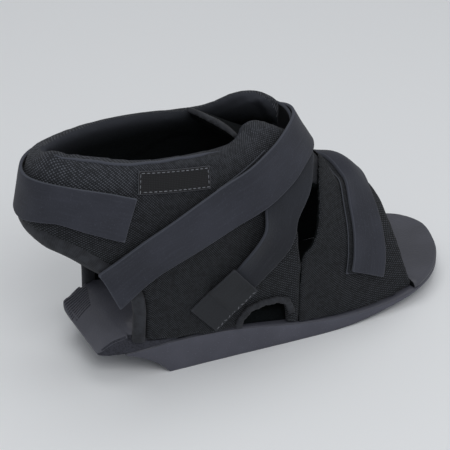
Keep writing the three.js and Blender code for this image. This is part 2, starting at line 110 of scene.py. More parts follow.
def along(rows, key, column, at):
    """Smooth value of a column where the key column has the given value."""
    keys = np.array([row[key] for row in rows], float)
    values = np.array([row[column] for row in rows], float)
    spot = np.clip(at, keys[0], keys[-1])
    i = np.clip(np.searchsorted(keys, spot) - 1, 0, len(keys) - 2)
    before = np.maximum(np.arange(len(keys)) - 1, 0)
    after = np.minimum(np.arange(len(keys)) + 1, len(keys) - 1)
    slope = (values[after] - values[before]) / (keys[after] - keys[before])
    step = keys[i + 1] - keys[i]
    t = (spot - keys[i]) / step
    bend = eased(t)
    start = t * (1 - t) ** 2 * step * slope[i]
    end = t * t * (t - 1) * step * slope[i + 1]
    return values[i] * (1 - bend) + values[i + 1] * bend + start + end


def section_at(points, grow):
    """Level section through each point, moved outwards by grow, read on the point's side of it."""
    plan = {column: along(FORM, "z", column, points[:, 2]) for column in FORM[0]}
    ahead = points[:, 0] > plan["widest"]
    front = plan["front"] + grow - plan["widest"]
    back = plan["widest"] - plan["back"] + grow
    return {
        "centre": plan["widest"],
        "reach": np.where(ahead, front, back),
        "half": plan["half"] + grow,
        "power": np.where(ahead, plan["toe_fullness"], plan["rear_fullness"]),
    }


def form_level(points, grow=0.0):
    plan = section_at(points, grow)
    ahead = np.abs(points[:, 0] - plan["centre"]) / plan["reach"]
    aside = np.abs(points[:, 1]) / plan["half"]
    return (ahead ** plan["power"] + aside ** plan["power"]) ** (1 / plan["power"])


def on_form(points, grow):
    level = form_level(points, grow)
    centre = section_at(points, grow)["centre"]
    x = centre + (points[:, 0] - centre) / level
    return np.stack((x, points[:, 1] / level, points[:, 2]), axis=1)


def form_normal(points):
    probe = 0.5
    steps = probe * np.eye(3)
    change = np.stack([form_level(points + s) - form_level(points - s) for s in steps], axis=1)
    return change / np.linalg.norm(change, axis=1, keepdims=True)


def half_width(x, z, grow):
    points = np.stack((x, 0 * x, z), axis=1)
    plan = section_at(points, grow)
    share = np.minimum(1, np.abs(x - plan["centre"]) / plan["reach"])
    return plan["half"] * (1 - share ** plan["power"]) ** (1 / plan["power"])


print("the form is", FORM[-1]["z"], "mm high")

# %% [markdown]
# ## Hands for the mesh work
# A few steps come back for every piece: pick one object alone, read and set its points, apply a
# modifier, and hand the finished piece over to the body that it rides on. They are written once.

# %% Mesh helpers


def pick(obj):
    bpy.ops.object.select_all(action="DESELECT")
    obj.select_set(True)
    bpy.context.view_layer.objects.active = obj


@contextmanager
def editing(obj):
    """Edit mode with the whole mesh selected."""
    pick(obj)
    bpy.ops.object.mode_set(mode="EDIT")
    bpy.ops.mesh.select_all(action="SELECT")
    yield
    bpy.ops.object.mode_set(mode="OBJECT")


def linked(name, data):
    """A new object in the scene."""
    obj = bpy.data.objects.new(name, data)
    bpy.context.scene.collection.objects.link(obj)
    return obj


def triples(items, field):
    flat = np.empty(len(items) * 3, np.float32)
    items.foreach_get(field, flat)
    return flat.reshape(-1, 3).astype(float)


def points_of(obj):
    return triples(obj.data.vertices, "co")


def normals_of(obj):
    return triples(obj.data.vertices, "normal")


def face_rows(obj):
    """Middle of each face, in the reading frame, and its normal."""
    return in_shoe(triples(obj.data.polygons, "center")), triples(obj.data.polygons, "normal")


def set_points(obj, points):
    obj.data.vertices.foreach_set("co", np.asarray(points, np.float32).ravel())
    obj.data.update()


def applied(obj, kind, **settings):
    modifier = obj.modifiers.new(kind.title(), kind)
    for name, value in settings.items():
        setattr(modifier, name, value)
    pick(obj)
    bpy.ops.object.modifier_apply(modifier=modifier.name)


def smooth_by_angle(obj, degrees):
    pick(obj)
    bpy.ops.object.shade_smooth_by_angle(angle=math.radians(degrees))


def add_finishes(obj, *finishes):
    for finish in finishes:
        obj.data.materials.append(finish)


def set_finishes(obj, numbers):
    """The number of each face's finish in the object's list."""
    obj.data.polygons.foreach_set("material_index", np.asarray(numbers, np.int32))


def hand_over(obj, finish, slot, *nodes):
    if not obj.data.materials:
        obj.data.materials.append(finish)
    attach(obj, "root")
    if nodes:
        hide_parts(*nodes)
    print(f"{obj.name}: {len(obj.data.polygons)} faces")


def node_copy(node, name):
    """A copy of a solid's mesh as a new piece, its loose triangles merged."""
    obj = linked(name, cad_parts[node].data.copy())
    obj.data.materials.clear()
    with editing(obj):
        bpy.ops.mesh.remove_doubles(threshold=1e-5)
    return obj


def grid(name, across, lengthwise):
    """A flat grid with these numbers of faces, and each of its points' shares across and along."""
    bpy.ops.object.select_all(action="DESELECT")
    bpy.ops.mesh.primitive_grid_add(x_subdivisions=across, y_subdivisions=lengthwise, size=1)
    obj = bpy.context.object
    obj.name = name
    obj.data.name = name
    flat = points_of(obj)
    return obj, flat[:, 0], flat[:, 1] + 0.5


def corners_of(obj):
    """The number of the point at each corner of each face."""
    corner = np.empty(len(obj.data.loops), np.int32)
    obj.data.loops.foreach_get("vertex_index", corner)
    return corner


def set_uv(obj, uv):
    """One UV pair in millimetres for each corner."""
    layer = obj.data.uv_layers.active or obj.data.uv_layers.new(name="UVMap")
    layer.data.foreach_set("uv", (uv * MM).astype(np.float32).ravel())


def feeler(*meshes):
    """A tree that finds the nearest place on these meshes, or where a ray meets them."""
    corners, faces = [], []
    for mesh in meshes:
        first = len(corners)
        corners += [v.co for v in mesh.vertices]
        faces += [[first + i for i in face.vertices] for face in mesh.polygons]
    return BVHTree.FromPolygons(corners, faces)


def solids(*nodes):
    return feeler(*(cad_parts[node].data for node in nodes))


print("mesh helpers ready")

# %% [markdown]
# ## Materials
# Colours are written as they look on a screen and turned to linear light by one function. A second
# small function adds a node with its settings and links. A third makes a whole finish from its recipe:
# how rough it is, the patterns in it, the colours that these lay over each other, and its relief. Each
# finish starts from what the real material is, with its pattern's scale worked out from a size in
# millimetres.

# %% Material helpers


def linear(code):
    screen = [int(code[i:i + 2], 16) / 255 for i in (1, 3, 5)]
    return [c / 12.92 if c <= 0.04045 else ((c + 0.055) / 1.055) ** 2.4 for c in screen] + [1.0]


def add_node(tree, kind, inputs=None, **settings):
    node = tree.nodes.new("ShaderNode" + kind)
    for name, value in settings.items():
        setattr(node, name, value)
    for socket, value in (inputs or {}).items():
        if isinstance(value, bpy.types.NodeSocket):
            tree.links.new(value, node.inputs[socket])
        else:
            node.inputs[socket].default_value = value
    return node


FACTOR, MIX_A, MIX_B, MIX_OUT = 0, 6, 7, 2
SMOOTH = {"interpolation_type": "SMOOTHSTEP"}
COLOUR = {"data_type": "RGBA"}
PRODUCT = {"operation": "MULTIPLY"}


def new_finish(name, surface, patterns, layers, relief=None):
    """A material. surface is its roughness, sheen and specular level. A pattern is a node: its name, kind,
    output, inputs and settings, where a word as an input stands for an earlier pattern. The first layer is
    a colour, and each later one a pattern, the range over which it shows, a colour and its strength. relief
    is a pattern and its depth in millimetres."""
    material = bpy.data.materials.new(name)
    material.use_nodes = True
    tree = material.node_tree
    shader = tree.nodes["Principled BSDF"]
    sockets = ("Roughness", "Sheen Weight", "Specular IOR Level", "Sheen Roughness")
    for socket, value in zip(sockets, (*surface, 0.5)):
        shader.inputs[socket].default_value = value
    places = add_node(tree, "TexCoord").outputs
    known = {"place": places["Object"], "cloth": places["UV"]}

    def read(value):
        if not isinstance(value, str):
            return value
        return linear(value) if value.startswith("#") else known[value]

    for key, kind, output, inputs, *settings in patterns:
        inputs = {socket: read(value) for socket, value in inputs.items()}
        known[key] = add_node(tree, kind, inputs, **(settings[0] if settings else {})).outputs[output]
    colour = read(layers[0])
    for pattern, low, high, code, *strength in layers[1:]:
        spread = {"Value": known[pattern], "From Min": low, "From Max": high}
        spread["To Max"] = strength[0] if strength else 1.0
        share = add_node(tree, "MapRange", spread, **SMOOTH).outputs["Result"]
        mix = {FACTOR: share, MIX_A: colour, MIX_B: read(code)}
        colour = add_node(tree, "Mix", mix, **COLOUR).outputs[MIX_OUT]
    if isinstance(colour, list):
        shader.inputs["Base Color"].default_value = colour
    else:
        tree.links.new(colour, shader.inputs["Base Color"])
    if relief:
        pattern, depth = relief
        bump = add_node(tree, "Bump", {"Height": known[pattern], "Distance": depth * MM, "Strength": 1.0})
        tree.links.new(bump.outputs["Normal"], shader.inputs["Normal"])
    print("finish", name)
    return material


def waves(period_mm):
    """Scale at which a Wave Texture has this period on coordinates in metres."""
    return math.pi / 10 / (period_mm * MM)


def grains(size_mm):
    """Scale at which a texture's grains have this size on coordinates in metres."""
    return 1 / (size_mm * MM)


# %% [markdown]
# ### Moulded rubber of the outsole
# The outsole is filled rubber from a blasted mould: a cool slate grey, matte, with a fine grain and
# soft cloudy changes of tone where it was handled. The grain is about half a millimetre and is drawn
# a little coarser, so that it shows.

# %% Moulded rubber
moulded_rubber = new_finish("moulded_rubber", (0.62, 0.0, 0.4), (
    ("cloud", "TexNoise", "Fac", {"Vector": "place", "Scale": grains(30), "Detail": 3.0}),
    ("grain", "TexNoise", "Fac", {"Vector": "place", "Scale": grains(0.9), "Detail": 2.0}),
), ("#484953", ("cloud", 0.35, 0.65, "#50515c"), ("grain", 0.62, 0.74, "#5c5c68")), ("grain", 0.12))

# %% [markdown]
# ### Closed-cell foam of the footbed
# The footbed is a sheet of closed-cell foam. It is a warm grey with fine pale specks, smoother than
# the rubber, and it takes a faint shine on its skin. The bare toe gets a darker copy of the foam. A much
# darker foam is painted shade, for faces that lie in shade: side walls, the seam at the sole and grooves.

# %% Closed-cell foam


def foam(name, dark, pale, specks):
    return new_finish(name, (0.45, 0.0, 0.5), (
        ("cloud", "TexNoise", "Fac", {"Vector": "place", "Scale": grains(22), "Detail": 2.0}),
        ("cells", "TexVoronoi", "Distance", {"Vector": "place", "Scale": grains(1.4)}),
    ), (dark, ("cloud", 0.3, 0.7, pale), ("cells", 0.16, 0.05, specks)), ("cells", 0.1))


closed_cell_foam = foam("closed_cell_foam", "#464750", "#50515a", "#5c5d67")
bare_toe_foam = foam("bare_toe_foam", "#3d3e46", "#45464f", "#51525b")
# Painted shade: a much darker foam for faces that lie in shade.
painted_shade_foam = new_finish("painted_shade_foam", (0.8, 0.0, 0.2), (
    ("cells", "TexVoronoi", "Distance", {"Vector": "place", "Scale": grains(1.1)}),
), ("#24252a", ("cells", 0.1, 0.6, "#393a42")), ("cells", 0.2))

# %% [markdown]
# ### Knitted spacer mesh of the upper
# Quarters and vamp are a black spacer mesh: crossing yarns on the bias with small dark holes between
# them, over foam. On the real cloth the holes are a little under 1 mm apart. They are drawn at 1.15 mm,
# as coarse as they need to be to show. The pattern follows the cloth, so it reads the piece's UV map.
# High on the padded cuff holes and yarns are painted lighter with height: painted light from above.

# %% Knitted mesh
MESH_PITCH = 1.15
# Between these heights the mesh is painted lighter: painted light from above on the rolled cuff.
LIT_CUFF_FROM, LIT_CUFF_TO = 112, 146
PULL = {"Vector": "bias", "Scale": waves(MESH_PITCH), "Distortion": 0.6, "Detail Scale": 2.0}
UNEVEN = {"Value": "fuzz", "From Min": 0.32, "From Max": 0.68, "To Min": 0.25, "To Max": 0.8}
LIT_CUFF_RANGE = {"Value": "height", "From Min": LIT_CUFF_FROM * MM, "From Max": LIT_CUFF_TO * MM}
knitted_mesh = new_finish("knitted_mesh", (0.85, 0.04, 0.2), (
    ("bias", "Mapping", "Vector", {"Vector": "cloth", "Rotation": (0, 0, math.radians(45))}),
    ("warp", "TexWave", "Fac", PULL, {"bands_direction": "X"}),
    ("weft", "TexWave", "Fac", PULL, {"bands_direction": "Y"}),
    ("yarns", "Math", "Value", {0: "warp", 1: "weft"}, PRODUCT),
    ("fuzz", "TexNoise", "Fac", {"Vector": "place", "Scale": grains(2.6), "Detail": 3.0}),
    ("uneven", "MapRange", "Result", UNEVEN, SMOOTH),
    ("worn", "Math", "Value", {0: "yarns", 1: "uneven"}, PRODUCT),
    ("height", "SeparateXYZ", "Z", {"Vector": "place"}),
    ("stretch", "MapRange", "Result", LIT_CUFF_RANGE, SMOOTH),
    ("hole", "Mix", MIX_OUT, {FACTOR: "stretch", MIX_A: "#15171a", MIX_B: "#26282c"}, COLOUR),
    ("yarn", "Mix", MIX_OUT, {FACTOR: "stretch", MIX_A: "#3c3f45", MIX_B: "#585b63"}, COLOUR),
), ("hole", ("worn", 0.03, 0.42, "yarn")), ("yarns", 0.45))

# %% [markdown]
# ### Brushed lining
# The inside and the tongue are lined with a soft brushed knit, black, that scatters light off its nap
# instead of shining. Towards the rim of the cuff the lining is painted slate: painted light on the rim
# above the dark inside. On the tongue this painted light is left out, so it stays black.

# %% Brushed lining
# Between these heights the lining is painted slate: painted light on the rim.
RIM_LIGHT_FROM, RIM_LIGHT_TO = 121, 146


def lining(name, rim_light_tone):
    return new_finish(name, (0.95, 0.0, 0.1), (
        ("nap", "TexNoise", "Fac", {"Vector": "place", "Scale": grains(1.2), "Detail": 4.0}),
        ("height", "SeparateXYZ", "Z", {"Vector": "place"}),
    ), (
        "#070a0b",
        ("nap", 0.3, 0.75, "#0f1315"),
        ("height", RIM_LIGHT_FROM * MM, RIM_LIGHT_TO * MM, rim_light_tone),
    ), ("nap", 0.25))


brushed_lining = lining("brushed_lining", "#36383e")
tongue_lining = lining("tongue_lining", "#0a0c0e")

# %% [markdown]
# ### Folded binding tape
# Raw edges are bound with a folded stretch tape. It is smoother and a little lighter than the mesh,
# with fine ribs across its run about 1 mm apart.

# %% Binding tape
RIBS = {"Vector": "cloth", "Scale": waves(1.1), "Distortion": 0.8}
binding_tape = new_finish("folded_binding_tape", (0.8, 0.05, 0.25), (
    ("rib", "TexWave", "Fac", RIBS, {"bands_direction": "Y"}),
    ("cloud", "TexNoise", "Fac", {"Vector": "place", "Scale": grains(5), "Detail": 3.0}),
), ("#222327", ("cloud", 0.3, 0.7, "#313338"), ("rib", 0.5, 1.0, "#35373c", 0.4)), ("rib", 0.06))

# %% [markdown]
# ### Brushed loop webbing of the straps
# The straps are hook-and-loop webbing whose face is brushed to a short, even pile: dark slate, matt,
# with faint streaks along the strap. Their cut edges are pale yarn ends with a painted highlight. A point
# attribute holds the distance to the edge, which the material reads. The lower instep strap gets a darker
# webbing as painted shade, and the sewn tabs a darker one again, also painted shade.

# %% Strap webbing
EDGE = ("rim", "Attribute", "Fac", {}, {"attribute_name": "edge"})


def webbing(name, dark, pale, streaks, tips, edge):
    return new_finish(name, (0.82, 0.06, 0.25), (
        ("drawn", "Mapping", "Vector", {"Vector": "cloth", "Scale": (1, 0.08, 1)}),
        ("streak", "TexNoise", "Fac", {"Vector": "drawn", "Scale": grains(1.6), "Detail": 2.0}),
        ("pile", "TexNoise", "Fac", {"Vector": "place", "Scale": grains(1.0), "Detail": 3.0}),
        ("cloud", "TexNoise", "Fac", {"Vector": "place", "Scale": grains(28), "Detail": 2.0}),
        EDGE,
        # Pale edge: yarn ends and a painted highlight.
        ("frayed", "Math", "Value", {0: "rim", 1: "pile"}, PRODUCT),
    ), (
        dark,
        ("cloud", 0.3, 0.7, pale),
        ("streak", 0.45, 0.8, streaks, 0.5),
        ("pile", 0.55, 0.8, tips, 0.6),
        ("frayed", 0.3, 0.12, edge),
    ), ("pile", 0.16))


loop_webbing = webbing("loop_webbing", "#2c2e36", "#34363f", "#3a3c46", "#43454f", "#43464f")
# The two darker copies below are painted shade, for the lower instep strap and the tabs.
shaded_webbing = webbing("shaded_webbing", "#212329", "#262930", "#2c2e36", "#33353d", "#3a3d45")
shaded_tab_webbing = webbing("shaded_tab_webbing", "#212326", "#282a2e", "#2c2e32", "#303237", "#303237")

# %% [markdown]
# ### Loop tape, woven patch and thread
# The strips under the straps are the same pile in black. The patch on the cuff is a fine plain weave,
# and the sewing thread is a pale twisted polyester with a soft shine.

# %% Loop tape, patch and thread
loop_tape = new_finish("black_loop_tape", (0.9, 0.05, 0.2), (
    ("pile", "TexNoise", "Fac", {"Vector": "place", "Scale": grains(0.9), "Detail": 3.0}),
    EDGE,
), ("#15171a", ("pile", 0.35, 0.75, "#2d2f34"), ("rim", 0.6, 0.2, "#43464d")), ("pile", 0.2))
woven_patch = new_finish("woven_patch", (0.75, 0.0, 0.3), (
    ("warp", "TexWave", "Fac", {"Vector": "cloth", "Scale": waves(1.0)}, {"bands_direction": "X"}),
    ("weft", "TexWave", "Fac", {"Vector": "cloth", "Scale": waves(1.0)}, {"bands_direction": "Y"}),
    ("weave", "Math", "Value", {0: "warp", 1: "weft"}, PRODUCT),
    ("yarn", "Mix", MIX_OUT, {FACTOR: "weave", MIX_A: "#141416", MIX_B: "#26272a"}, COLOUR),
    EDGE,
), ("yarn", ("rim", 0.6, 0.2, "#4a4c52", 0.7)), ("weave", 0.12))
pale_thread = new_finish("pale_thread", (0.6, 0.2, 0.4), (
    ("twist", "TexNoise", "Fac", {"Vector": "place", "Scale": grains(0.8)}),
), ("#54575d", ("twist", 0.3, 0.7, "#71747b")), ("twist", 0.08))

# %% [markdown]
# ## Lines along the form
# Straps, tapes and seams follow smooth lines through a few points. The curve is the centripetal
# kind, which passes through every point without loops, with its ends carried on straight.

# %% Smooth lines


def smooth_path(points, shares, spread=0.25):
    """Points of a smooth curve at shares of its run; spread 0.25 is centripetal, 0 is even."""
    points = np.asarray(points, float)
    knots = np.vstack((2 * points[0] - points[1], points, 2 * points[-1] - points[-2]))
    run = np.clip(shares, 0, 1) * (len(points) - 1)
    i = np.minimum(run.astype(int), len(points) - 2)
    t = (run - i)[:, None]
    a, b, c, d = (knots[i + k] for k in range(4))
    spans = [((q - p) ** 2).sum(1, keepdims=True) for p, q in ((a, b), (b, c), (c, d))]
    gap = [np.maximum(span ** spread, 1e-4) for span in spans]
    leave = ((b - a) / gap[0] - (c - a) / (gap[0] + gap[1]) + (c - b) / gap[1]) * gap[1]
    arrive = ((c - b) / gap[1] - (d - b) / (gap[1] + gap[2]) + (d - c) / gap[2]) * gap[1]
    square, cube = t ** 2, t ** 3
    ends = b * (2 * cube - 3 * square + 1) + c * (3 * square - 2 * cube)
    return ends + leave * (cube - 2 * square + t) + arrive * (cube - square)


def unit(vectors):
    return vectors / np.linalg.norm(vectors, axis=1, keepdims=True)


def path_direction(points, shares):
    probe = 1e-3
    return unit(smooth_path(points, shares + probe) - smooth_path(points, shares - probe))


def xyz(rows):
    return np.array([(row["x"], row["y"], row["z"]) for row in rows], float)


def mirrored(rows):
    return [{**row, "y": -row["y"]} for row in rows]


def run_along(points):
    """Distance along a line from its first point to each of its points."""
    return np.concatenate(([0], np.cumsum(np.linalg.norm(np.diff(points, axis=0), axis=1))))


print("smooth lines ready")

# %% [markdown]
# ## Flat bands
# A strap is cut flat from webbing and laid on the shoe, so it is made that way: a flat grid of faces
# as long and wide as the cut piece, whose points are carried onto the form along the strap's centre
# line. Solidify then gives the webbing its thickness and a bevel rounds the cut edges. The simulation
# that puffs the pads would round a strap away, so it isn't used here.

# %% Bands laid on the form
SLANT_RUN = 18


def with_band(rows, **given):
    """Rows numbered for laying, with the given width and lift off the form in place of their own."""
    return [{**row, **given, "index": i} for i, row in enumerate(rows)]


def band_frame(rows, share):
    """Centre line of a band at shares of its run, the way across it, its width and its lift."""
    line = xyz(rows)
    centre = smooth_path(line, share)
    side = unit(np.cross(form_normal(centre), path_direction(line, share)))
    width, lift = (along(rows, "index", column, share * (len(rows) - 1)) for column in ("width", "lift"))
    return centre, side, width, lift


def laid_band(name, rows, thickness, aside=0.0, shape=None, face=1.6, strands=12, soft=0.5, cut=None):
    """A flat piece laid along rows. shape(share, across, length) adds lift in millimetres, and cut holds
    how far its first and last end are shortened, with the slant from the middle to an edge."""
    line = xyz(rows)
    length = run_along(smooth_path(line, np.linspace(0, 1, 200)))[-1]
    obj, across, share = grid(name, strands, max(8, round(length / face)))
    centre, side, width, lift = band_frame(rows, share)
    if shape:
        lift = lift + shape(share, 2 * across, length)
    flat = centre + side * (across * width + aside)[:, None]
    for (short, slant), way in zip(cut or (), (1, -1)):
        near_end = np.clip(1 - (share if way > 0 else 1 - share) * length / SLANT_RUN, 0, 1)
        shift = way * near_end * (short + slant * 2 * across)
        flat = flat + path_direction(line, share) * shift[:, None]
    out = form_normal(on_form(flat, 0.0))
    set_points(obj, in_model(on_form(flat, lift)))
    edge = np.minimum((0.5 - np.abs(across)) * width, np.minimum(share, 1 - share) * length)
    obj.data.attributes.new("edge", "FLOAT", "POINT").data.foreach_set("value", edge.astype(np.float32))
    set_uv(obj, np.stack((across * width, share * length), axis=1)[corners_of(obj)])
    if (normals_of(obj) * out).sum() < 0:
        with editing(obj):
            bpy.ops.mesh.flip_normals()
    applied(obj, "SOLIDIFY", thickness=thickness * MM, offset=1.0, use_even_offset=True)
    applied(obj, "BEVEL", width=soft * MM, segments=2, limit_method="ANGLE", angle_limit=math.radians(50))
    smooth_by_angle(obj, 60)
    area = np.mean(along(rows, "index", "width", np.linspace(0, len(rows) - 1, 100))) * length
    return obj, length * MM, area * MM * MM


print("bands ready")

# %% [markdown]
# ## Round tapes
# Bound edges and piping are rolled tapes. A tape starts as a flat grid too: its points are carried
# round a rounded section at each step of its line, the long seam is merged and the ends are closed.

# %% Tapes rolled along a line


def rolled_tape(name, line, out, wide, deep, sides=14, lumps=None, square=2.6):
    """A closed tape along points of a line; wide and deep are its half sizes in millimetres."""
    line = np.asarray(line, float)
    steps = len(line) - 1
    obj, across, share = grid(name, sides, steps)
    i = np.rint(share * steps).astype(int)
    ahead = unit(np.gradient(line, axis=0))
    out = unit(out - (out * ahead).sum(1, keepdims=True) * ahead)
    side = np.cross(ahead, out)
    angle = across * 2 * math.pi
    rounded = np.abs(np.cos(angle)) ** square + np.abs(np.sin(angle)) ** square
    radius = rounded ** (-1 / square)
    if lumps is not None:
        radius = radius * lumps(i, angle)
    wide = np.broadcast_to(wide, len(line))[i]
    sideways = side[i] * (radius * np.sin(angle) * wide)[:, None]
    outwards = out[i] * (radius * np.cos(angle) * deep)[:, None]
    set_points(obj, in_model(line[i] + sideways + outwards))
    girth = across * math.pi * (wide + deep)
    set_uv(obj, np.stack((girth, run_along(line)[i]), axis=1)[corners_of(obj)])
    with editing(obj):
        bpy.ops.mesh.remove_doubles(threshold=1e-6)
        bpy.ops.mesh.select_all(action="DESELECT")
        bpy.ops.mesh.select_mode(type="EDGE")
        bpy.ops.mesh.select_non_manifold()
        bpy.ops.mesh.edge_face_add()
        bpy.ops.mesh.select_all(action="SELECT")
        bpy.ops.mesh.normals_make_consistent(inside=False)
    smooth_by_angle(obj, 60)
    return obj


print("tapes ready")

# %% [markdown]
# ## Padded cloth
# Quarters, vamp and tongue are cloth over foam. Each starts as a copy of its solid, is remeshed into
# even small faces, smoothed, and brought back onto the form. Then the cloth is simulated with a
# little pressure inside, held fast where it is sewn and where straps press on it, so that it swells
# softly between them. The swelling is capped and applied, and one subdivision finishes the skin. Where
# the forefoot strap is pulled tight, it and the vamp under it sink into the ridge of the foot.

# %% Cloth over foam
EVEN_ROUNDS, EVEN_IN, EVEN_OUT = 10, 0.6, -0.63
HELD_NEAR, HELD_FAR = 3.0, 9.0
ON_SKIN, NEAR_SKIN = 0.4, 0.9
FRAMES = 20
DENT_X, DENT_DEPTH, DENT_BEHIND, DENT_AHEAD = 166.5, 7, 6, 9.5
FRONT_X, FRONT_DEPTH, FRONT_RUN = 196, 3.2, 10
RIDGE_HALF, RIDGE_FADE, RIDGE_FOOT, RIDGE_RISE = 30, 18, 60, 15


def held_weights(obj, holders):
    """1 where the cloth is held, falling to 0 away from what holds it."""
    weights = np.zeros(len(obj.data.vertices))
    for i, vertex in enumerate(obj.data.vertices):
        distance = holders.find_nearest(vertex.co, HELD_FAR * MM)[3]
        if distance is not None:
            weights[i] = np.clip((HELD_FAR - distance / MM) / (HELD_FAR - HELD_NEAR), 0, 1)
    return weights


def pressed(obj):
    """The forefoot strap sinks into the soft ridge of the vamp, most at the strap's rear edge."""
    points = in_shoe(points_of(obj))
    x, y, z = points.T
    ridge = eased((RIDGE_HALF - np.abs(y)) / RIDGE_FADE) * eased((z - RIDGE_FOOT) / RIDGE_RISE)
    behind = eased((x - DENT_X + DENT_BEHIND) / DENT_BEHIND)
    ahead = np.exp(-(np.maximum(0, x - DENT_X) / DENT_AHEAD) ** 2)
    front = np.exp(-((x - FRONT_X) / FRONT_RUN) ** 2)
    points[:, 2] -= ridge * (DENT_DEPTH * ahead * behind + FRONT_DEPTH * front)
    set_points(obj, in_model(points))


def back_on_form(obj, wall):
    """Points of the two skins brought exactly onto the form and its inner offset."""
    points = in_shoe(points_of(obj))
    facing = (normals_of(obj) * form_normal(points)).sum(1)
    for grow, way in ((np.zeros(len(points)), 1), (-wall(points[:, 2]), -1)):
        target = on_form(points, grow)
        off = np.linalg.norm(points - target, axis=1)
        share = np.clip((NEAR_SKIN - off) / (NEAR_SKIN - ON_SKIN), 0, 1) * (facing * way > 0.5)
        points = points + (target - points) * share[:, None]
    set_points(obj, in_model(points))


def puffed(obj, weights, pressure, cap):
    """Cloth swollen by pressure, held by weights, no point moved further than cap millimetres."""
    group = obj.vertex_groups.new(name="held")
    for i, weight in enumerate(weights):
        group.add([i], float(weight), "REPLACE")
    rest = points_of(obj)
    cloth = obj.modifiers.new("Puff", "CLOTH")
    cloth.settings.vertex_group_mass = "held"
    cloth.settings.mass = 0.05
    cloth.settings.quality = 5
    cloth.settings.use_pressure = True
    cloth.settings.uniform_pressure_force = pressure
    cloth.settings.effector_weights.gravity = 0
    cloth.collision_settings.use_collision = False
    cloth.point_cache.frame_start = 1
    cloth.point_cache.frame_end = FRAMES
    for number in range(1, FRAMES + 1):
        bpy.context.scene.frame_set(number)
    pick(obj)
    bpy.ops.object.modifier_apply(modifier=cloth.name)
    bpy.context.scene.frame_set(1)
    moved = points_of(obj) - rest
    length = np.linalg.norm(moved, axis=1, keepdims=True)
    print(f"{obj.name}: swelled up to {length.max() / MM:.2f} mm")
    set_points(obj, rest + moved * np.minimum(1, cap * MM / np.maximum(length, 1e-9)))
    obj.vertex_groups.clear()


def padded_piece(node, name, voxel, holders, pressure, cap, wall=None, sewn=None):
    """The steps that remeshing leaves are smoothed out. Each smoothing is followed by as much swelling."""
    obj = node_copy(node, name)
    applied(obj, "REMESH", mode="VOXEL", voxel_size=voxel * MM)
    for _ in range(EVEN_ROUNDS):
        applied(obj, "SMOOTH", factor=EVEN_IN, iterations=1)
        applied(obj, "SMOOTH", factor=EVEN_OUT, iterations=1)
    if wall:
        back_on_form(obj, wall)
    if sewn:
        set_points(obj, in_model(sewn(in_shoe(points_of(obj)))))
    applied(obj, "SMOOTH", factor=0.5, iterations=2)
    puffed(obj, held_weights(obj, solids(*holders)), pressure, cap)
    applied(obj, "SMOOTH", factor=0.4, iterations=2)
    applied(obj, "SUBSURF", levels=1, render_levels=1)
    pick(obj)
    bpy.ops.object.shade_smooth()
    return obj


print("padding ready")

# %% [markdown]
# ## Rear upper: quarters and cuff
# One shell of foam and mesh makes both quarters and the thick cuff round the ankle. Its wall is 5 mm
# below and over 10 mm at the rim. The cloth is held at the sole, at the bound heel edge and under the
# straps, patch and tabs. Its inner side gets the lining and the outer side the mesh. The near rear corner
# of the rim, which smoothing wears down, is drawn up again.

# %% Rear upper
CUFF = table(("z", "wall"), ((8, 5), (92, 5), (112, 7), (126, 10), (160, 10.5)))
ON_UPPER = ("heel_strap", "instep_strap_near", "instep_strap_far", "strap_tab_near", "strap_tab_far",
            "loop_patch_near", "loop_patch_far", "label_patch", "arch_trim_near", "arch_trim_far",
            "heel_binding", "outsole", "footbed", "vamp")
SEAM_X, SEAM_TOP, SEAM_LAP = 125.5, 59, 1.0
SEAM_FADE, SEAM_CLEAR, SEAM_PULL = 6, 8, 7
CORNER, CORNER_FROM, CORNER_FULL, CORNER_RISE, CORNER_SPREAD = (-16.5, -10), 130, 144, 5.0, 7.3
SHADOW_REACH, SHADOW_BELOW = 1.5, 40


def cuff_wall(z):
    return along(CUFF, "z", "wall", z)


def sewn_at_seam(way):
    """Quarter (way 1) and vamp (way -1) are sewn together below the slit: edges are drawn to the seam."""
    def sewn(points):
        ahead = (points[:, 0] - SEAM_X) * way
        low = np.clip((SEAM_TOP - points[:, 2]) / SEAM_FADE, 0, 1)
        gap = -ahead[points[:, 2] < SEAM_TOP - SEAM_CLEAR].max() + SEAM_LAP
        share = np.clip(1 + ahead / SEAM_PULL, 0, 1) * low
        print("seam drawn by", round(gap, 2), "mm")
        return points + np.stack((way * gap * share, 0 * share, 0 * share), axis=1)
    return sewn


def cloth_uv(obj, middle, radius):
    """UV of cloth wrapped round the form: along its girth, up its height and on over the rim."""
    points = in_shoe(points_of(obj))
    over = np.linalg.norm(points - on_form(points, 0.0), axis=1)
    turn = np.arctan2(points[:, 1], points[:, 0] - middle)
    corner = corners_of(obj)
    sides = np.empty(len(obj.data.polygons), np.int32)
    obj.data.polygons.foreach_get("loop_total", sides)
    face = np.repeat(np.arange(len(sides)), sides)
    start = np.concatenate(([0], np.cumsum(sides)[:-1]))
    angle = turn[corner]
    first = angle[start][face]
    angle = np.where(angle - first > math.pi, angle - 2 * math.pi, angle)
    angle = np.where(first - angle > math.pi, angle + 2 * math.pi, angle)
    set_uv(obj, np.stack((angle * radius, (points[:, 2] + over)[corner]), axis=1))


def dress_cloth(obj, outward=0.1):
    """Mesh outside, lining inside and on the edges, and painted shadow along the sole, where the upper
    meets it.
    """
    add_finishes(obj, knitted_mesh, brushed_lining, painted_shade_foam)
    centre, normal = face_rows(obj)
    inward = (normal * form_normal(centre)).sum(1) < outward
    # Painted shadow: outer faces just above the sole get the dark foam.
    sole = solids("outsole", "footbed")
    shadow_at_sole = np.zeros(len(centre), bool)
    for i in np.flatnonzero(~inward & (centre[:, 2] < SHADOW_BELOW)):
        shadow_at_sole[i] = sole.find_nearest(Vector(in_model(centre[i])), SHADOW_REACH * MM)[0] is not None
    set_finishes(obj, np.select([inward, shadow_at_sole], [1, 2], 0))


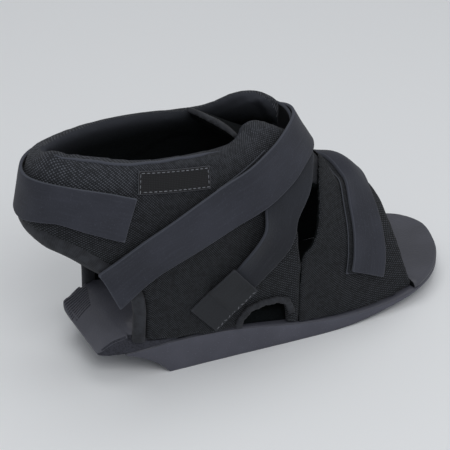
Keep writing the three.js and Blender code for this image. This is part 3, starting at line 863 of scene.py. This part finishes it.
rear_upper = padded_piece("rear_upper", "rear_upper_cloth", 2.2, ON_UPPER, 25.0, 1.6, cuff_wall,
                          sewn_at_seam(1))
cloth_uv(rear_upper, 60, 60)
dress_cloth(rear_upper)
points = in_shoe(points_of(rear_upper))
from_corner = np.hypot(points[:, 0] - CORNER[0], points[:, 1] - CORNER[1])
upper = np.clip((points[:, 2] - CORNER_FROM) / (CORNER_FULL - CORNER_FROM), 0, 1)
points[:, 2] += CORNER_RISE * upper * np.exp(-(from_corner / CORNER_SPREAD) ** 2)
set_points(rear_upper, in_model(points))
hand_over(rear_upper, knitted_mesh, "mesh_fabric", "rear_upper")

# %% [markdown]
# ## Vamp
# The vamp is the same mesh with a thinner lining, arched over the forefoot and open at the toe. It is
# padded in the same way, with less swelling.

# %% Vamp
VAMP_WALL = 3.2
ON_VAMP = ("forefoot_strap", "forefoot_loop_strip", "outsole", "footbed", "tongue", "rear_upper")
vamp = padded_piece("vamp", "vamp_cloth", 1.4, ON_VAMP, 40.0, 0.9, lambda z: VAMP_WALL + 0 * z,
                    sewn_at_seam(-1))
cloth_uv(vamp, 120, 62)
dress_cloth(vamp, outward=0.5)
pressed(vamp)
hand_over(vamp, knitted_mesh, "mesh_fabric", "vamp")

# %% [markdown]
# ## Tongue
# The tongue is a soft pad that closes the front of the ankle opening. Its front is smooth stretch
# tape, which also binds its upper edge in a thick roll, and its back is lined. Worn, it leans to the
# far side, so its upper edge is tilted a little and reaches further there.

# %% Tongue
BOUND_EDGE, FRONT_TOP, TONGUE_HALF = 3.2, 121, 20
TILT_FROM, TILT_LOWER, TILT_SIDE = 118, 0.9, 1.2
ROLL_RISE, FAR_REACH = 2.8, 0.12
tongue = padded_piece("tongue", "tongue_pad", 1.5, ("vamp", "rear_upper"), 30.0, 1.2)
cloth_uv(tongue, 60, 60)
pressed(tongue)
add_finishes(tongue, tongue_lining, binding_tape)
centre, normal = face_rows(tongue)
tongue_top = in_shoe(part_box("tongue")[1])[2] - BOUND_EDGE
back_edge = (normal[:, 0] < 0) & (centre[:, 2] > tongue_top)
crest = centre[:, 2] > tongue_top + BOUND_EDGE / 2
front = (normal[:, 0] > 0.2) & (centre[:, 2] < FRONT_TOP)
set_finishes(tongue, back_edge | crest | front)
points = in_shoe(points_of(tongue))
upper = np.clip((points[:, 2] - TILT_FROM) / (tongue_top - TILT_FROM), 0, 1)
points[:, 2] += upper * (TILT_SIDE * points[:, 1] / TONGUE_HALF - TILT_LOWER) + ROLL_RISE * upper ** 3
points[:, 1] *= 1 + FAR_REACH * upper * (points[:, 1] > 0)
set_points(tongue, in_model(points))
hand_over(tongue, tongue_lining, "lining_fabric", "tongue")

# %% [markdown]
# ## Sole
# Outsole and footbed are firm and moulded. Copies of their solids become quads again, their sharp
# edges are creased so that they stay crisp, and two subdivisions round the outline between them. The
# footbed's rear lip is thinned to its edge. From the heel opening to the bare toe the footbed gets the
# black lining as painted shade, and its rear side walls and the lip's near face the dark foam, painted
# shade too. The outsole's upward faces get the foam finish as a painted highlight on its top edge.

# %% Outsole and footbed
CREASE, SHARP = 0.85, 35
SHADED_BED_FROM, BARE_TOE = 46, 211
LIP_END, LIP_BASE, LIP_HEIGHT, LIP_SLOPE = 15.2, 16.2, 6.3, 0.5
LIP_ROLL, LIP_THINNED, LIP_NEAR, LIP_ACROSS = 9, 0.82, -18, 46
LIP_CORNER, LIP_CORNER_AT, LIP_CORNER_RUN, LIP_CORNER_LOW = 2.3, (2, 18), (4, 10), 4
LIP_FAR = table(("x", "solid", "drawn"), (
    (0, 22, 23.5),
    (1.5, 27.4, 29),
    (6, 35, 32),
    (14, 38.8, 33.8),
    (16, 38.5, 34.2),
    (26, 37.2, 37.2),
))
STEP_FROM, STEP_END, STEP_RUN, STEP_OUT, STEP_LOW = 14.8, 26, 6.5, 0.35, 24
STEP_NEAR, STEP_FAR = -31.5, 34.3
TOE_STEP, TOE_STEP_BACK, TOE_STEP_DEEP, TOE_STEP_SIDE = 212, 2.2, 0.6, 30


def moulded_piece(node, name):
    obj = node_copy(node, name)
    limit = math.radians(40)
    with editing(obj):
        bpy.ops.mesh.select_mode(type="EDGE")
        bpy.ops.mesh.select_all(action="SELECT")
        bpy.ops.mesh.tris_convert_to_quads(face_threshold=limit, shape_threshold=limit)
        bpy.ops.mesh.select_all(action="DESELECT")
        bpy.ops.mesh.edges_select_sharp(sharpness=math.radians(SHARP))
        bpy.ops.transform.edge_crease(value=CREASE)
    applied(obj, "SUBSURF", levels=2, render_levels=2)
    smooth_by_angle(obj, SHARP)
    return obj


def closed_step(points):
    """The bed's step behind the bindings is filled out, so that they stand on the lip without a notch."""
    x, y, z = points.T
    share = np.clip((STEP_END - x) / STEP_RUN, 0, 1) * (x > STEP_FROM) * (z > STEP_LOW)
    inside = (y > STEP_NEAR) & (y < STEP_FAR)
    points[:, 1] = np.where(inside, np.clip(y * (1 + STEP_OUT * share), STEP_NEAR, STEP_FAR), y)
    at_toe = (np.abs(x - TOE_STEP) < TOE_STEP_DEEP) & (np.abs(y) > TOE_STEP_SIDE)
    points[:, 0] -= TOE_STEP_BACK * at_toe


def eased_lip(obj):
    """The lip thins to its rear edge, which drops to the near side, and its far edge runs straight."""
    points = in_shoe(points_of(obj))
    closed_step(points)
    x, y, z = points.T
    far = (x < LIP_FAR[-1]["x"]) & (y > 0)
    solid, drawn = (along(LIP_FAR, "x", column, x) for column in ("solid", "drawn"))
    y *= np.where(far, drawn / solid, 1)
    thinned = LIP_THINNED * np.clip(1 - x / LIP_ROLL, 0, 1) ** 2
    to_far = np.clip((y - LIP_NEAR) / LIP_ACROSS, 0, 1)
    height = (z - LIP_BASE) * (1 - thinned) + thinned * to_far * (LIP_HEIGHT + LIP_SLOPE * x)
    corner = np.exp(-((x - LIP_CORNER_AT[0]) / LIP_CORNER_RUN[0]) ** 2)
    corner = corner * np.clip((y - LIP_CORNER_AT[1]) / LIP_CORNER_RUN[1], 0, 1)
    height = height + LIP_CORNER * corner * np.clip(height / LIP_CORNER_LOW, 0, 1)
    points[:, 2] = np.where(x < LIP_END, LIP_BASE + height, z)
    set_points(obj, in_model(points))


outsole = moulded_piece("outsole", "outsole_rubber")
add_finishes(outsole, moulded_rubber, closed_cell_foam)
centre, normal = face_rows(outsole)
# Painted highlight: the outsole's upward faces get the foam finish, for its bright top edge.
set_finishes(outsole, normal[:, 2] > 0.25)
hand_over(outsole, moulded_rubber, "sole_rubber", "outsole")
footbed = moulded_piece("footbed", "footbed_foam")
eased_lip(footbed)
add_finishes(footbed, closed_cell_foam, painted_shade_foam, brushed_lining, bare_toe_foam)
centre, normal = face_rows(footbed)
upright = (np.abs(normal[:, 2]) < 0.5) & (centre[:, 0] < BARE_TOE)
near_face = (normal[:, 1] < -0.3) & (normal[:, 2] < 0.75)
inside = (centre[:, 0] > SHADED_BED_FROM) & (centre[:, 0] < BARE_TOE)
toe = centre[:, 0] > BARE_TOE
# Painted shade: the black lining on the middle of the bed, and the dark foam on its rear side walls and the
# lip's near face.
set_finishes(footbed, np.select([centre[:, 0] < LIP_END, inside, upright, toe], [near_face, 2, 1, 3], 0))
hand_over(footbed, closed_cell_foam, "footbed_foam", "footbed")

# %% [markdown]
# ## Straps
# Three kinds of strap close the shoe. The heel strap runs level round the back of the cuff. Two
# instep straps rise from sewn tabs, cross at the instep and come down on the opposite rear quarter.
# The forefoot strap arches over the vamp. Each is one flat length of webbing.

# %% Strap sizes
STRAP_WIDTH = 27
STRAP_THICKNESS = 1.9
STRIP_THICKNESS = 0.8
ON_CLOTH, ON_STRIP, ON_STRAP = 0.6, 1.9, 3.7
REAR_RISE = table(("x", "y", "z"), (
    (1.7, -37, 68.2),
    (24.6, -44.7, 86.6),
    (48.3, -48.6, 98.2),
    (73.7, -47.5, 107.3),
    (96.3, -42.7, 113),
    (115, -35.6, 118.2),
    (134, -22, 124.2),
))
TAB_RISE = table(("x", "y", "z", "width", "lift"), (
    (80.5, -47.2, 52.5, 17, ON_CLOTH),
    (88.2, -48, 60, 20.5, 1.4),
    (102.4, -47.5, 78, 26, 3.4),
    (112.8, -44.4, 93, 28, 1.1),
    (126.7, -35.8, 105.4, 29.5, ON_CLOTH),
    (136.5, -22.3, 116.8, 29, ON_CLOTH),
))
CREST = table(("x", "y", "z"), ((144.5, 0, 124),))
CLIMB_X, CLIMB_Z, OFF_STRIP_X = 85, 70, 100
WAVE, WAVE_RUN, EDGE_LIFT = 0.12, 9.0, 0.18
SLACK, SLACK_FROM, SLACK_IN, SLACK_TO, SLACK_OUT = 3.5, 0.05, 0.08, 0.235, 0.07
HEEL_LOOP = table(("x", "y", "z", "width"), (
    (13.6, -42.4, 113.3, STRAP_WIDTH),
    (-2, -37, 119, 25.5),
    (-20, -24.5, 124, 22.5),
    (-28.5, -12, 123.4, 24.5),
    (-31, 0, 121.8, STRAP_WIDTH),
    (-28.5, 12, 122, STRAP_WIDTH),
    (-20, 24.5, 122, 26.5),
    (-2, 37, 118.6, 26.5),
    (13.6, 42.4, 113.3, STRAP_WIDTH),
))
FOREFOOT_ARCH = table(("x", "y", "z", "width"), (
    (172.6, -47.6, 34.8, STRAP_WIDTH),
    (176.4, -42.6, 53.5, STRAP_WIDTH),
    (180.2, -33.5, 69, STRAP_WIDTH),
    (180, -18, 84.5, STRAP_WIDTH),
    (178.5, 0, 90.3, STRAP_WIDTH),
))


def whole_loop(near):
    return near + mirrored(near[:-1])[::-1]


def soft_lie(share, across, length):
    """Webbing never lies quite flat: a slow wave along it, and edges that stand off a little."""
    slow = WAVE * (1 + np.sin(share * length / WAVE_RUN))
    return slow * across ** 2 + EDGE_LIFT * across ** 4


def slack_root(share, across, length):
    """The lower instep strap is slack above its tab: its upper edge stands off the quarter."""
    away = eased((share - SLACK_FROM) / SLACK_IN) * eased((SLACK_TO - share) / SLACK_OUT)
    return SLACK * away * np.clip(across, 0, 1) ** 1.5


print("strap width", STRAP_WIDTH, "mm")

# %% Instep straps


def instep_rows(over):
    """The upper strap climbs onto the lower one before the crest and stays on it down to the far tab."""
    top, strip_end = (ON_STRAP, CLIMB_X) if over else (ON_CLOTH, OFF_STRIP_X)
    rear = with_band(REAR_RISE, width=STRAP_WIDTH)
    rear = [{**row, "lift": top if row["x"] > strip_end else ON_STRIP} for row in rear]
    tab = [{**row, "lift": ON_STRAP} if over and row["z"] > CLIMB_Z else row for row in TAB_RISE]
    first, last = (rear, tab) if over else (tab, rear)
    return with_band(first + with_band(CREST, width=STRAP_WIDTH, lift=top) + mirrored(last)[::-1])


INSTEP_CUTS = {"near": ((-2, 3.5), (0, 0)), "far": ((0, 0), (-2, 3.5))}
# The lower strap's darker webbing is painted shade.
for side, over in (("near", True), ("far", False)):
    strap, length, area = laid_band(f"instep_strap_{side}_webbing", instep_rows(over), STRAP_THICKNESS,
                                    shape=soft_lie if over else slack_root, cut=INSTEP_CUTS[side])
    hand_over(strap, loop_webbing if over else shaded_webbing, "strap_webbing", f"instep_strap_{side}")

# %% Heel and forefoot straps
FREE_STRAPS = (
    ("heel_strap", HEEL_LOOP, ON_CLOTH, "rear_upper_cloth", None),
    ("forefoot_strap", whole_loop(FOREFOOT_ARCH), ON_STRIP, "vamp_cloth", ((-0.7, 3.2), (-0.7, 3.2))),
)
for node, loop, lift, under, cut in FREE_STRAPS:
    rows = with_band(loop, lift=lift)
    strap, length, area = laid_band(f"{node}_webbing", rows, STRAP_THICKNESS, shape=soft_lie, cut=cut)
    pressed(strap)
    hand_over(strap, loop_webbing, "strap_webbing", node)

# %% [markdown]
# ## Tabs and loop strips
# A sewn tab holds the root of each instep strap: flat on the quarter below, then stepped up over the
# strap's end. Thin loop strips under the straps show along one edge, because a strap is never closed
# quite in line with its strip.

# %% Tabs and strips
TAB_WIDTH, TAB_THICKNESS = 25.5, 1.4
STRIP_WIDTH, PEEK, STRIP_PEEK = 10, 2.2, -1.2
TAB_LINE = table(("x", "y", "z", "lift"), (
    (58, -43.6, 33.5, ON_CLOTH),
    (68.5, -45.4, 42.8, ON_CLOTH),
    (74, -46.2, 47.6, ON_STRAP),
    (86, -47.5, 57.7, ON_STRAP),
))
STRIP_ENDS = {"near": (70, 120), "far": (70, 100)}
SIDES = (("near", -1), ("far", 1))


def on_side(rows, way):
    return rows if way < 0 else mirrored(rows)


def tab_rows(way):
    return with_band(on_side(TAB_LINE, way), width=TAB_WIDTH)


# The tabs' darker webbing is painted shade.
for side, way in SIDES:
    rows = tab_rows(way)
    tab, length, _ = laid_band(f"strap_tab_{side}_webbing", rows, TAB_THICKNESS, face=1.2, strands=8)
    hand_over(tab, shaded_tab_webbing, "strap_webbing", f"strap_tab_{side}")
    first, last = STRIP_ENDS[side]
    rows = [row for row in REAR_RISE if first < row["x"] < last]
    rows = with_band(on_side(rows, way), width=STRIP_WIDTH, lift=ON_CLOTH)
    aside = (STRAP_WIDTH - STRIP_WIDTH) / 2 + STRIP_PEEK
    strip, length, _ = laid_band(f"loop_patch_{side}_tape", rows, STRIP_THICKNESS, aside=-way * aside,
                                 strands=6, soft=0.25)
    hand_over(strip, loop_tape, "loop_tape", f"loop_patch_{side}")

rows = with_band(whole_loop(FOREFOOT_ARCH), lift=ON_CLOTH)
strip, length, _ = laid_band("forefoot_loop_tape", rows, STRIP_THICKNESS, aside=PEEK, soft=0.25)
pressed(strip)
hand_over(strip, loop_tape, "loop_tape", "forefoot_loop_strip")

# %% [markdown]
# ## Patch on the cuff
# A small woven patch is sewn on the near side of the cuff. It stays blank. It is a flat band as well,
# with a row of stitches inside its edge further down.

# %% Patch
LABEL_LENGTH, LABEL_HEIGHT = 44.5, 13.4
LABEL_X, LABEL_Z, LABEL_DROOP = 43.7, 130.3, 7
label_share = np.linspace(-0.5, 0.5, 9)
label_x = LABEL_X + label_share * LABEL_LENGTH
label_z = LABEL_Z - label_share * LABEL_DROOP
label_y = -half_width(label_x, label_z, ON_CLOTH)
label_rows = table(("x", "y", "z"), zip(label_x, label_y, label_z))
label_rows = with_band(label_rows, width=LABEL_HEIGHT, lift=ON_CLOTH)
label, length, _ = laid_band("label_patch_cloth", label_rows, STRIP_THICKNESS, strands=16, soft=0.25)
hand_over(label, woven_patch, "patch_fabric", "label_patch")

# %% [markdown]
# ## Bound edges
# The edge of the heel opening is bound with a folded tape from the sole round the back of the cuff
# and down again. The small openings under the arch have a thick, uneven rolled binding.

# %% Heel binding
HEEL_EDGE = ((17.4, 26.8), (17.9, 40), (17.6, 50), (15.5, 59.5), (9.8, 68), (2.2, 74.8), (-7.5, 82.3),
             (-18.5, 91), (-31, 97.5))
BINDING_RADIUS, QUARTER_WALL = 3.2, 5
BINDING_FOLD, BACK_WIDER, BACK_FROM, BACK_RUN = 0.7, 1.6, 15, 25
edge = smooth_path(HEEL_EDGE, np.linspace(0, 1, 33), spread=0.0)
run = unit(np.gradient(edge, axis=0))
at_back = np.clip((BACK_FROM - edge[:, 0]) / BACK_RUN, 0, 1)
band = BINDING_RADIUS + BINDING_FOLD + BACK_WIDER * at_back
edge = edge + np.stack((run[:, 1], -run[:, 0]), axis=1) * band[:, None]
bound = np.stack((edge[:, 0], -half_width(edge[:, 0], edge[:, 1], -QUARTER_WALL / 2), edge[:, 1]), axis=1)
bound[-1, 1] = 0
bound = np.vstack((bound, (bound[:-1] * (1, -1, 1))[::-1]))
band = np.concatenate((band, band[-2::-1]))
steps = np.linspace(0, 1, 161)
line = smooth_path(bound, steps)
wide = np.interp(steps, np.linspace(0, 1, len(band)), band)
binding = rolled_tape("heel_binding_tape", line, form_normal(line), wide, BINDING_RADIUS, square=3.2)
hand_over(binding, binding_tape, "binding_tape", "heel_binding")

# %% Arch bindings
ARCH = ((83.5, 14), (84.8, 23.5), (89.5, 30.6), (98, 33), (107.5, 32.6), (113.4, 29.6), (116, 21),
        (116.6, 8))
TRIM_WIDTH, TRIM_GAP, TRIM_FOOT, TRIM_OUT, TRIM_HALF, TRIM_HIGH = 4, 0.4, 22.5, 1.5, 2.2, 1.3
arch = smooth_path(ARCH, np.linspace(0, 1, 91), spread=0.0)
run = unit(np.gradient(arch, axis=0))
arch = arch + np.stack((-run[:, 1], run[:, 0]), axis=1) * (TRIM_WIDTH / 2 + TRIM_GAP)
arch = arch[arch[:, 1] > TRIM_FOOT]


def lumpy(i, angle):
    return 1 + 0.12 * np.sin(i * 0.55 + 1.3 * np.sin(angle)) + 0.08 * np.sin(i * 1.37 + angle)


for side, way in SIDES:
    line = np.stack((arch[:, 0], way * half_width(arch[:, 0], arch[:, 1], TRIM_OUT), arch[:, 1]), axis=1)
    trim = rolled_tape(f"arch_trim_{side}_tape", line, form_normal(line), TRIM_HALF, TRIM_HIGH, lumps=lumpy)
    hand_over(trim, binding_tape, "binding_tape", f"arch_trim_{side}")

# %% [markdown]
# ## Piping at the rim
# On the near side a thin piping runs along the rim. Its line is found on the padded cuff itself: level
# rays from outside feel for the rim's height, and the piping is rolled just below, thinning out at
# both ends.

# %% Rim piping
PIPING_RADIUS, PIPING_DROP, PIPING_SUNK = 0.95, 0.5, 0.1
PIPING_FROM, PIPING_TO, PIPING_STEPS, PIPING_TAPER = 186, 322, 141, 18
ANKLE, OUTSIDE = (40, 0), 150
RIM_LOW, RIM_HIGH = 115.0, 155.0
rim = feeler(rear_upper.data)


def rim_touch(turn, z):
    ray = Vector((math.cos(turn), math.sin(turn), 0))
    return rim.ray_cast(Vector(in_model((*ANKLE, z))) + ray * OUTSIDE * MM, -ray, OUTSIDE * MM)


def rim_point(turn):
    low, high = RIM_LOW, RIM_HIGH
    while high - low > 0.05:
        middle = (low + high) / 2
        low, high = (middle, high) if rim_touch(turn, middle)[0] else (low, middle)
    place, normal = rim_touch(turn, low - PIPING_DROP)[:2]
    return in_shoe(place) - np.array(normal) * PIPING_SUNK


turns = np.radians(np.linspace(PIPING_FROM, PIPING_TO, PIPING_STEPS))
line = np.array([rim_point(turn) for turn in turns])
for _ in range(6):
    line[1:-1] = (line[:-2] + 2 * line[1:-1] + line[2:]) / 4
step = np.arange(PIPING_STEPS)
thin = np.clip(np.minimum(step, step[::-1]) / PIPING_TAPER, 0.15, 1)
piping = rolled_tape("rim_piping", line, form_normal(line), PIPING_RADIUS, PIPING_RADIUS, sides=10,
                     lumps=lambda i, angle: thin[i], square=2.0)
hand_over(piping, loop_webbing, "binding_tape")

# %% [markdown]
# ## Ribs on the rear lip
# The bare rear lip of the footbed has fine grip ribs on its far part, side by side along its far edge.
# Each is a low rolled bar laid on the lip, where a ray from above finds its height, and the bars thin
# out towards the near side. Flatter bars of dark foam between them are painted shade in the grooves.
# They are joined into one piece.

# %% Lip ribs
RIB_PITCH, RIB_COUNT, RIB_HALF, RIB_HEIGHT, GROOVE_HEIGHT = 1.9, 11, 0.5, 0.6, 0.15
RIB_LENGTH, RIB_SHORTER = 17.5, 0.45
RIB_START, RIB_RUN, RIB_ROW = (1.8, 29.4), np.array((0.978, 0.21)), np.array((-0.1, -1))
RIB_LOWER = 0.05
ABOVE = 60
bed = feeler(footbed.data)


def on_bed(x, y):
    return in_shoe(bed.ray_cast(Vector(in_model((x, y, ABOVE))), Vector((0, 0, -1)))[0])


ribs = []
for number in np.arange(0, RIB_COUNT, 0.5):
    raised = number == int(number)
    start = RIB_START + number * RIB_PITCH * RIB_ROW
    steps = np.linspace(0, RIB_LENGTH - RIB_SHORTER * number, 15)
    line = np.array([on_bed(*(start + step * RIB_RUN)) for step in steps])
    up = np.tile((0.0, 0.0, 1.0), (len(line), 1))
    height = RIB_HEIGHT * (1 - RIB_LOWER * number) if raised else GROOVE_HEIGHT
    rib = rolled_tape(f"rib_{number}", line, up, RIB_HALF, height, sides=8, square=2.0)
    # The flatter groove bars in dark foam are painted shade.
    add_finishes(rib, closed_cell_foam if raised else painted_shade_foam)
    ribs.append(rib)
lip_ribs = ribs[0]
pick(lip_ribs)
for rib in ribs:
    rib.select_set(True)
bpy.ops.object.join()
lip_ribs.name = "lip_ribs"
lip_ribs.data.name = "lip_ribs"
hand_over(lip_ribs, closed_cell_foam, "footbed_foam")

# %% [markdown]
# ## Stitches
# One stitch is a short rounded bar of thread. Copies of it follow the border of the patch in line, and
# one edge of each tab a little askew, each at its own angle.

# %% Stitches
STITCH_LENGTH, STITCH_RADIUS, STITCH_PITCH = 2.2, 0.28, 3.0
LOOK_AHEAD, TILT_STEP = 0.4, 2.4


def stitch_row(name, line, lift, tilt=0.0):
    """Stitches along points of a line on the form, lift millimetres above it."""
    run = run_along(line)
    count = int(run[-1] / STITCH_PITCH)
    bpy.ops.object.select_all(action="DESELECT")
    bpy.ops.mesh.primitive_uv_sphere_add(segments=8, ring_count=6, radius=1)
    one = bpy.context.object
    shape = points_of(one) * (STITCH_RADIUS, STITCH_RADIUS, STITCH_LENGTH / 2)
    faces = [face.vertices[:] for face in one.data.polygons]
    bpy.data.objects.remove(one)
    corners, rows = [], []
    for number in range(count):
        at = (number + 0.5) * run[-1] / count
        centre, ahead = (np.array([np.interp(spot, run, column) for column in line.T])
                         for spot in (at, at + LOOK_AHEAD))
        out = form_normal(centre[None])[0]
        ahead = ahead - centre
        ahead = ahead - out * (ahead @ out)
        ahead = ahead / np.linalg.norm(ahead)
        side = np.cross(out, ahead)
        turn = tilt * math.sin(number * TILT_STEP)
        thread = ahead * math.cos(turn) + side * math.sin(turn)
        aside = side * math.cos(turn) - ahead * math.sin(turn)
        rows += [[number * len(shape) + i for i in face] for face in faces]
        corners.append(centre + out * lift + shape @ np.array((aside, out, thread)))
    mesh = bpy.data.meshes.new(name)
    mesh.from_pydata(in_model(np.vstack(corners)).tolist(), [], rows)
    obj = linked(name, mesh)
    pick(obj)
    bpy.ops.object.shade_smooth()
    hand_over(obj, pale_thread, "strap_webbing")


def edge_line(rows, aside, margin):
    """Line beside the centre of a band, on the form, up to a margin from its ends."""
    centre, side, width, lift = band_frame(rows, np.linspace(margin, 1 - margin, 60))
    return on_form(centre + side * (aside * width / 2)[:, None], lift)


LABEL_INSET, TAB_INSET = 0.8, 0.9
upper_edge = edge_line(label_rows, LABEL_INSET, 0.03)
lower_edge = edge_line(label_rows, -LABEL_INSET, 0.03)
border = np.vstack((upper_edge, np.linspace(upper_edge[-1], lower_edge[-1], 8)[1:-1], lower_edge[::-1],
                    np.linspace(lower_edge[0], upper_edge[0], 8)[1:]))
stitch_row("label_stitches", on_form(border, ON_CLOTH), STRIP_THICKNESS)
for side, way in SIDES:
    line = edge_line(tab_rows(way), TAB_INSET * way, 0.02)
    stitch_row(f"tab_stitches_{side}", line, TAB_THICKNESS, tilt=0.6)

# %% [markdown]
# ## Camera, light and floor
# The camera stands where the photographer did: to the left of the near side and 30 degrees up, far
# away with a long lens. Large soft lights from above and from the left give the even studio light,
# over a pale floor.

# %% Camera
AZIMUTH, ELEVATION = math.radians(-29.2), math.radians(30.1)
DISTANCE, LENS = 1.16, 154.05
target = Vector(in_model((94.6, -6.7, 70.2)))
back = Vector((math.sin(AZIMUTH) * math.cos(ELEVATION), -math.cos(AZIMUTH) * math.cos(ELEVATION),
               math.sin(ELEVATION)))
camera = linked("camera", bpy.data.cameras.new("camera"))
camera.location = target + back * DISTANCE
camera.rotation_euler = (-back).to_track_quat("-Z", "Y").to_euler()
camera.data.lens = LENS
camera.data.sensor_width = 36
bpy.context.scene.camera = camera
print("camera at", camera.location[:])

# %% Lights and floor
LIGHTS = table(("name", "place", "size", "power"), (
    ("key", (-0.35, -1.0, 1.2), 0.9, 7),
    ("fill", (1.0, -0.7, 0.7), 0.9, 1.2),
    ("top", (0.05, 0.2, 1.5), 1.2, 5),
))
for row in LIGHTS:
    light = linked(row["name"], bpy.data.lights.new(row["name"], "AREA"))
    light.data.shape = "DISK"
    light.data.size = row["size"]
    light.data.energy = row["power"]
    light.location = row["place"]
    light.rotation_euler = (target - light.location).to_track_quat("-Z", "Y").to_euler()

bpy.ops.object.select_all(action="DESELECT")
bpy.ops.mesh.primitive_plane_add(size=12)
floor = bpy.context.object
floor.name = "floor"
floor.data.materials.append(new_finish("pale_floor", (0.9, 0.0, 0.5), (), ("#eef0f2",)))
world = bpy.data.worlds.new("studio")
world.use_nodes = True
sky = world.node_tree.nodes["Background"].inputs
sky["Color"].default_value = linear("#f2f4f7")
sky["Strength"].default_value = 0.42
bpy.context.scene.world = world
bpy.context.scene.view_settings.view_transform = "Standard"
print("studio ready")
